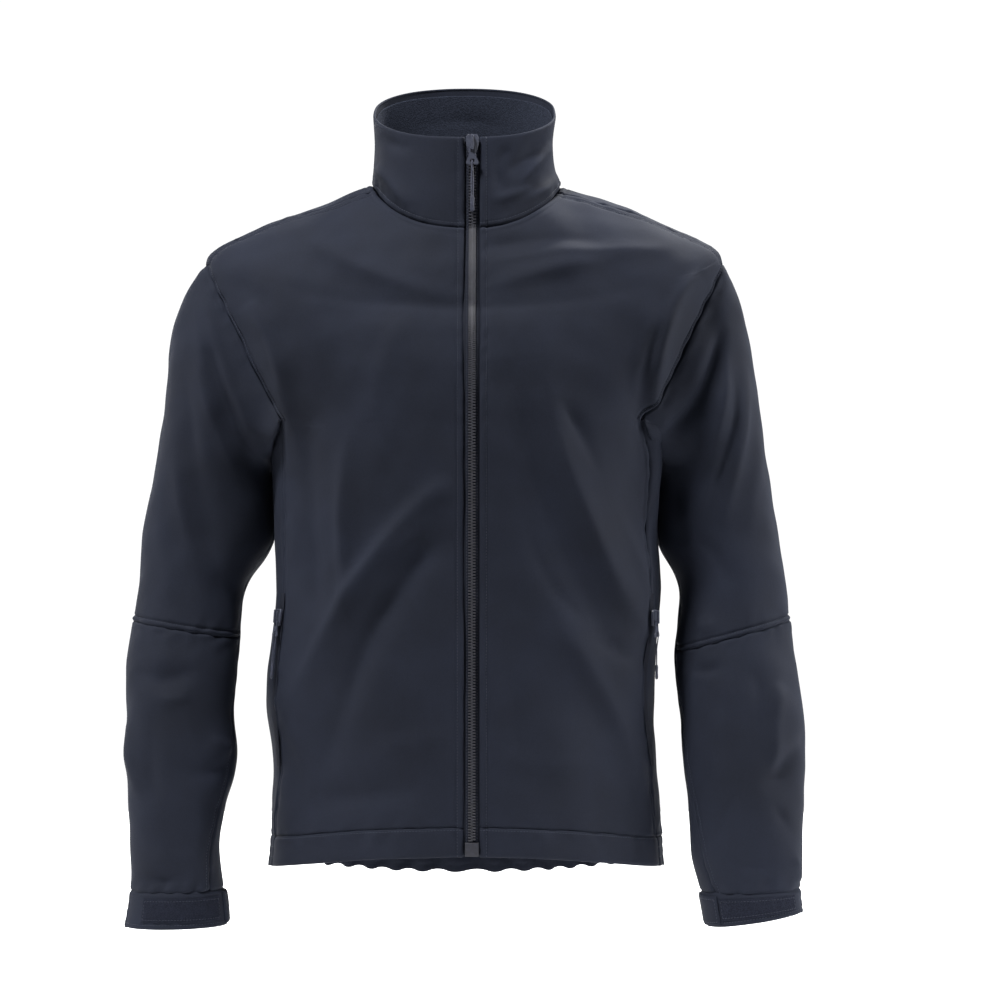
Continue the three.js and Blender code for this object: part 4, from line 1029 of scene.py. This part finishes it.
def build_collar():
    panel = collar_panel(0, COLLAR_SLOPE, ZIP_OPENING / 2, shares(COLLAR_SLOPE, 3.0))
    low, high = panel.edge["low"], panel.edge["high"]
    zip_edge = panel.nearest("start", "end")
    height = zip_fold(zip_edge) + seam_edge(low, 1.2, 1.5) - 0.9 * np.clip(1 - high / 2.5, 0, 1) ** 2
    height += groove(low, COLLAR_STITCH, 0.3, 0.9) + pucker(panel, low, 71, 0.45, 12)
    panel.shape(height + pucker(panel, zip_edge, 72, 0.3, 9, 13))
    panel.stitch("low", COLLAR_STITCH)
    for side in ("start", "end"):
        panel.stitch(side, ZIP_STITCH)
    cloth("collar_outer", panel, "collar", thickness=CLOTH + 0.5, rounding=0.9)

    low, high = 2, COLLAR_SLOPE - FACING_DROP
    panel = collar_panel(low, high, FACING_REACH, shares(high - low, 4.0, False, True))
    panel.shape(-CLOTH - 0.9)
    cloth("collar_lining", panel, "collar_facing", "facing", 1.4)


def sleeve_panel(name, turn, s):
    rows = SLEEVE[name]
    sign = dict(SIDES)[name]

    def middle(point):
        at = min(max(-270 - point[2], 0), CUFF_EDGE)
        x = sign * float(read(rows, "outerX", at) + read(rows, "innerX", at)) / 2
        return np.array([x, float(read(rows, "y", at)), point[2]])

    return Panel(SLEEVES[name](turn, s), middle)


def build_sleeves():
    reach = {"upper": (-CAP_LENGTH, ELBOW_SEAM), "lower": (ELBOW_SEAM, CUFF_SEAM),
             "under": (-CAP_LENGTH, CUFF_SEAM)}
    for (name, sign), (part, (low, high)) in itertools.product(SIDES, reach.items()):
        s = mix(low, high, shares(high - low, SLEEVE_SPACING))[None, :]
        front, back = read(UNDERARM_FRONT, "turn", s), read(UNDERARM_BACK, "turn", s)
        if part == "under":
            turn = mix(front, back, shares(85, SLEEVE_SPACING)[:, None])
        else:
            turn = mix(back - 360, front, shares(330, SLEEVE_SPACING)[:, None])
        panel = sleeve_panel(name, turn, s)
        outer = panel.nearest("start", "end")
        low_edge, high_edge = panel.edge["low"], panel.edge["high"]
        height = rolled(outer, low_edge, high_edge)
        if part == "under":
            height += pucker(panel, outer, 95 + sign, 0.4, 10)
        else:
            seed = {"upper": 81, "lower": 91}[part] + sign
            height += pucker(panel, outer, seed, 0.45, 11) + pucker(panel, low_edge, seed + 2, 0.65, 14)
            height += pucker(panel, high_edge, seed + 4, 0.7, 15)
            height += stitched(high_edge) if part == "upper" else groove(outer, TOPSTITCH, 0.45, 1.1)
        tucked = None if part == "lower" else lambda p: [seam_allowance(sign, p.points[:, 0]), p.points]
        panel.shape(height, 0, tucked)
        if part != "under":
            panel.stitch("high" if part == "upper" else "end", TOPSTITCH)
        cloth(f"sleeve_{part}_{name}", panel, f"sleeve_{name}_{part}")


def cuff_gather(turn):
    first, last = CUFF_GATHER
    share = (turn - first) / (last - first)
    wobble = 0.9 * np.sin(2 * np.pi * 1.7 * share + 0.5) + 0.5 * np.sin(2 * np.pi * 3.9 * share)
    fade = smoothstep(turn, first, first + 20) * (1 - smoothstep(turn, last - 20, last))
    return fade * np.sin(2 * np.pi * CUFF_WAVES * share + wobble)


def build_cuff_band(name):
    turn = CUFF_START + 360 * np.arange(240)[:, None] / 240
    v = shares(36, 2.4)[None, :]
    gather = cuff_gather(turn)
    points = sleeve_panel(name, turn, mix(CUFF_SEAM, CUFF_EDGE, v)).points
    panel = Panel(points, lambda _: points.mean(axis=(0, 1)), closed=True)
    low, high = panel.edge["low"], panel.edge["high"]
    pinch = pinched(low, CUFF_TUNNELS)
    height = gather * CUFF_WAVE_HEIGHT * mix(0.35, 1.0, v) * (1 - 0.4 * pinch)
    height = height - 0.4 * pinch * smoothstep(np.abs(gather), 0.02, 0.3)
    height += seam_edge(low, 1.2) + seam_edge(high, 0.8)
    height += 0.4 * smoothstep(low, 0, 4) + groove(high, CUFF_STITCH, 0.25, 0.8)
    panel.shape(height, CUFF_SAG * gather * v**3,
                lambda p: [turned_in(p.points[:, 0], p.normals[:, 0])[:, ::-1], p.points])
    panel.stitch("high", CUFF_STITCH)
    cloth(f"cuff_band_{name}", panel, f"cuff_{name}", thickness=CLOTH + 0.3)


def on_cuff(name, turns, size, reach, lift, edge, stitch, fuzz=0.0):
    """A small panel on a cuff, with the turns that it runs between, its size, how far it stays from
    the cuff's two edges, and its lift off the sleeve. Its border rolls in by edge and sinks by
    stitch. Fuzz is the height of its pile."""
    u = shares(size[0], 2.2)[:, None]
    s = mix(CUFF_SEAM + reach[0], CUFF_EDGE - reach[1], shares(size[1], 2.2))[None, :]
    panel = sleeve_panel(name, mix(*turns, u), s)
    panel.shape(mix(*lift, smoothstep(u, 0.55, 0.8)))
    border = panel.nearest("start", "end", "low", "high")
    panel.shape(seam_edge(border, *edge) + groove(border, *stitch) + fuzz * unevenness(panel.points * 9))
    return panel


def build_cuffs():
    for name, _ in SIDES:
        build_cuff_band(name)
        patch = on_cuff(name, PATCH[name], (80, 23), (6, 7), (1.9, 1.9), (0.7, 1.2), (2.2, 0.45, 0.8), 0.25)
        for side in ("start", "end", "low", "high"):
            patch.stitch(side, 2.2, 2, -2)
        cloth(f"cuff_patch_{name}", patch, f"loop_patch_{name}", "loop_pile", 1.3)
        tab = on_cuff(name, TAB[name], (62, 31), (3, 2), (2.7, 4.3), (0.8, 1.3), (3.2, 0.35, 0.8))
        for side in ("start", "low", "high"):
            tab.stitch(side, 3.2, 3, -3)
        cloth(f"cuff_strap_{name}", tab, f"cuff_tab_{name}", thickness=2.0)


ZIP_TOP = NECK_SEAM + COLLAR_SLOPE
BEND = 5  # the zip's line is rounded over this much each side of the neck seam


def zip_frame(s):
    """The zip's line up the front and the collar: its point, and its way up."""
    on_body = s < NECK_SEAM
    place = np.where(on_body, s, s - NECK_SEAM)
    out = []
    for rows in (BODY, COLLAR):
        angle = angle_at(rows, ZIP_X, place)
        point = ring_point(rows, angle, place)
        above = ring_point(rows, angle, place + 1) - point
        above[..., 0] = 0
        point[..., 0] = ZIP_X
        out.append((point, unit(above)))
    return [np.where(on_body[..., None], low, high) for low, high in zip(*out)]


def zip_line(s):
    """Places up the zip: their points, and the ways up and out there."""
    point, up = zip_frame(s)
    near = (np.abs(s - NECK_SEAM) < BEND)[:, None]
    ends, ends_up = zip_frame(np.array([NECK_SEAM - BEND, NECK_SEAM, NECK_SEAM + BEND]))
    t = np.clip((s - NECK_SEAM + BEND) / (2 * BEND), 0, 1)[:, None]
    eased = mix(mix(ends[0], ends[1], t), mix(ends[1], ends[2], t), t)
    point = np.where(near, eased, point)
    up = unit(np.where(near, mix(ends_up[0], ends_up[2], t), up))
    return point, up, np.stack([np.zeros_like(s), -up[:, 2], up[:, 1]], axis=-1)


def block(low, high, bevel):
    """A box between two corners, with bevelled edges, as points and triangles."""
    points = []
    for corner, axis in itertools.product(itertools.product((False, True), repeat=3), range(3)):
        inset = bevel * (np.arange(3) != axis)
        points.append(np.where(corner, high - inset, low + inset))
    work = bmesh.new()
    for point in points:
        work.verts.new(point)
    bmesh.ops.convex_hull(work, input=work.verts)
    bmesh.ops.triangulate(work, faces=work.faces)
    work.verts.index_update()
    faces = np.array([[vertex.index for vertex in face.verts] for face in work.faces])
    work.free()
    return np.array(points), faces


TOOTH_PITCH = 2.9
TOOTH_REACH = (-0.9, 3.6)
BOX_TOP = 15
TAPE_PROFILE = (
    (0.4, -1.5), (2.2, -1.35), (3.3, -0.9), (4.0, -1.3), (5.0, -1.9), (6.4, -2.7), (8.0, -3.3), (9.1, -3.5),
)
TAPE_SEAM = 4  # the place of the sewn line in the tape's profile
TAPE_CLOTH = 0.7


def build_front_zip():
    across = np.array([1.0, 0, 0])
    vertices, faces, count = [], [], 0
    for sign in (1, -1):
        ends = sorted(sign * x for x in TOOTH_REACH)
        tooth, tooth_faces = block(np.array([ends[0], -1.9, -0.72]), np.array([ends[1], 0.75, 0.72]), 0.3)
        first = BOX_TOP + 2 + (TOOTH_PITCH / 2 if sign > 0 else 0)
        point, up, out = (way[:, None] for way in zip_line(np.arange(first, ZIP_TOP - 2, TOOTH_PITCH)))
        copies = point + tooth[:, :1] * across + tooth[:, 1:2] * out + tooth[:, 2:] * up
        more, more_faces = repeated(copies, tooth_faces)
        vertices.append(more)
        faces.append(more_faces + count)
        count += len(more)
    vertices, faces = np.concatenate(vertices), np.concatenate(faces)
    teeth = make_object("zip_teeth", vertices, faces, MATERIALS["zip_plastic"], smooth=False)
    hand_over(teeth, "zip_plastic", "zip_chain")
    point, up, out = zip_line(shares(ZIP_TOP - 6, 4.0, False, False) * (ZIP_TOP - 6) + 2)
    for name, sign in SIDES:
        outer = np.stack([point + across * x * sign + out * y for x, y in TAPE_PROFILE])
        tape = make_object(f"zip_tape_strip_{name}", *wall_mesh(outer, outer - out * TAPE_CLOTH, False, 0.1),
                           MATERIALS["zip_tape"])
        hand_over(tape, "zip_tape", f"zip_tape_{name}")
        add_stitches(outer[TAPE_SEAM], out)


def softened(node, name, material, bevel, body_name="jacket"):
    """A CAD piece's own shape with rounded edges, in its place."""
    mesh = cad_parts[node].data.copy()
    mesh.name = name
    work = bmesh.new()
    work.from_mesh(mesh)
    bmesh.ops.remove_doubles(work, verts=work.verts, dist=0.00001)
    bmesh.ops.dissolve_limit(work, angle_limit=math.radians(2), verts=work.verts, edges=work.edges)
    sharp = [e for e in work.edges if len(e.link_faces) == 2 and e.calc_face_angle() > math.radians(28)]
    bmesh.ops.bevel(work, geom=sharp, offset=bevel * MM, offset_type="OFFSET", segments=3, profile=0.6,
                    affect="EDGES", clamp_overlap=True)
    bmesh.ops.triangulate(work, faces=work.faces)
    work.to_mesh(mesh)
    work.free()
    mesh.polygons.foreach_set("use_smooth", [True] * len(mesh.polygons))
    mesh.materials.clear()
    mesh.materials.append(material)
    obj = placed(name, mesh)
    obj.matrix_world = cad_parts[node].matrix_world.copy()
    mesh.set_sharp_from_angle(angle=math.radians(60))
    hand_over(obj, "zip_plastic", node, body_name=body_name)


def build_small_parts():
    softened("zip_box", "zip_box_moulding", MATERIALS["zip_plastic"], 0.5)
    for prefix in ("zip", "pocket_left", "pocket_right"):
        softened(f"{prefix}_slider", f"{prefix}_slider_moulding", SLIDER_PLASTIC, 0.35)
        softened(f"{prefix}_pull_tab", f"{prefix}_tab_moulding", SLIDER_PLASTIC, 0.35, f"{prefix}_pull")
        softened(f"{prefix}_puller", f"{prefix}_cord_and_end", CORD, 0.12, f"{prefix}_pull")
    for name, _ in SIDES:
        softened(f"pocket_{name}_zip", f"pocket_{name}_tape_strip", MATERIALS["zip_tape"], 0.3)


def build_stitches():
    beads = stitch_mesh(*(np.concatenate(part) for part in zip(*stitches)))
    hand_over(make_object("topstitching", *repeated(*beads), THREAD), "softshell")


build_fronts()
build_back()
build_hems()
build_collar()
build_sleeves()
build_cuffs()
build_front_zip()
build_stitches()
build_small_parts()

# The studio, in metres and watts.
FLOOR = -0.86
FLOOR_CORNERS = ((-2.6, -0.6, FLOOR), (2.6, -0.6, FLOOR), (2.6, 2.4, FLOOR), (-2.6, 2.4, FLOOR))
# Lights: name, place, the point they face, width, height and power.
LIGHTS = (
    ("key", (-1.0, -1.1, 2.25), (0, 0, -0.3), 0.4, 0.5, 155),
    ("fill", (2.3, -0.6, 1.0), (0, 0, -0.3), 0.6, 1.2, 30),
    ("front", (0.6, -3.0, 0.3), (0, 0, -0.3), 1.2, 1.2, 5),
    ("side_left", (2.1, 0.2, 0.5), (0.2, 0, -0.35), 0.6, 1.6, 40),
    ("side_right", (-2.1, 0.3, 0.5), (-0.2, 0, -0.35), 0.6, 1.6, 20),
    ("back_left", (1.2, 1.6, 2.0), (0, 0, -0.35), 0.4, 0.5, 120),
    ("back_right", (-1.6, 2.2, 0.6), (0, 0, -0.3), 0.9, 1.2, 20),
)


def build_floor():
    mesh = bpy.data.meshes.new("floor")
    mesh.from_pydata(FLOOR_CORNERS, [], [(0, 1, 2, 3)])
    n = Nodes("pale_floor", Roughness=0.9, Specular_IOR_Level=0.1, Emission_Color=(1, 1, 1, 1),
              Emission_Strength=0.5)
    n.colour(n.noise(3, 2), (0.4, srgb(244, 244, 245)), (0.6, srgb(248, 248, 248)))
    mesh.materials.append(n.material)
    placed("floor", mesh)


def build_world():
    """A white surround for the camera that lights the jacket only a little."""
    world = bpy.data.worlds.new("studio")
    world.use_nodes = True
    nodes, links = world.node_tree.nodes, world.node_tree.links
    nodes["Background"].inputs["Color"].default_value = (1, 1, 1, 1)
    strength = nodes.new("ShaderNodeMapRange")
    strength.inputs["To Min"].default_value = 0.07
    strength.inputs["To Max"].default_value = 1.05
    links.new(nodes.new("ShaderNodeLightPath").outputs["Is Camera Ray"], strength.inputs["Value"])
    links.new(strength.outputs["Result"], nodes["Background"].inputs["Strength"])
    bpy.context.scene.world = world


def build_lights():
    for name, place, aim, width, height, power in LIGHTS:
        light = bpy.data.lights.new(name, "AREA")
        light.shape = "RECTANGLE"
        light.size, light.size_y, light.energy = width, height, power
        obj = placed(name, light)
        obj.location = place
        obj.rotation_euler = (Vector(aim) - Vector(place)).to_track_quat("-Z", "Y").to_euler()


def build_camera():
    camera = bpy.data.cameras.new("camera")
    camera.sensor_width = 36
    camera.lens = 115.2
    obj = placed("camera", camera)
    obj.location = (0.035, -3.2, -0.315)
    obj.rotation_euler = (math.pi / 2, 0, 0)
    bpy.context.scene.camera = obj
    bpy.context.scene.view_settings.view_transform = "Standard"


build_floor()
build_world()
build_lights()
build_camera()
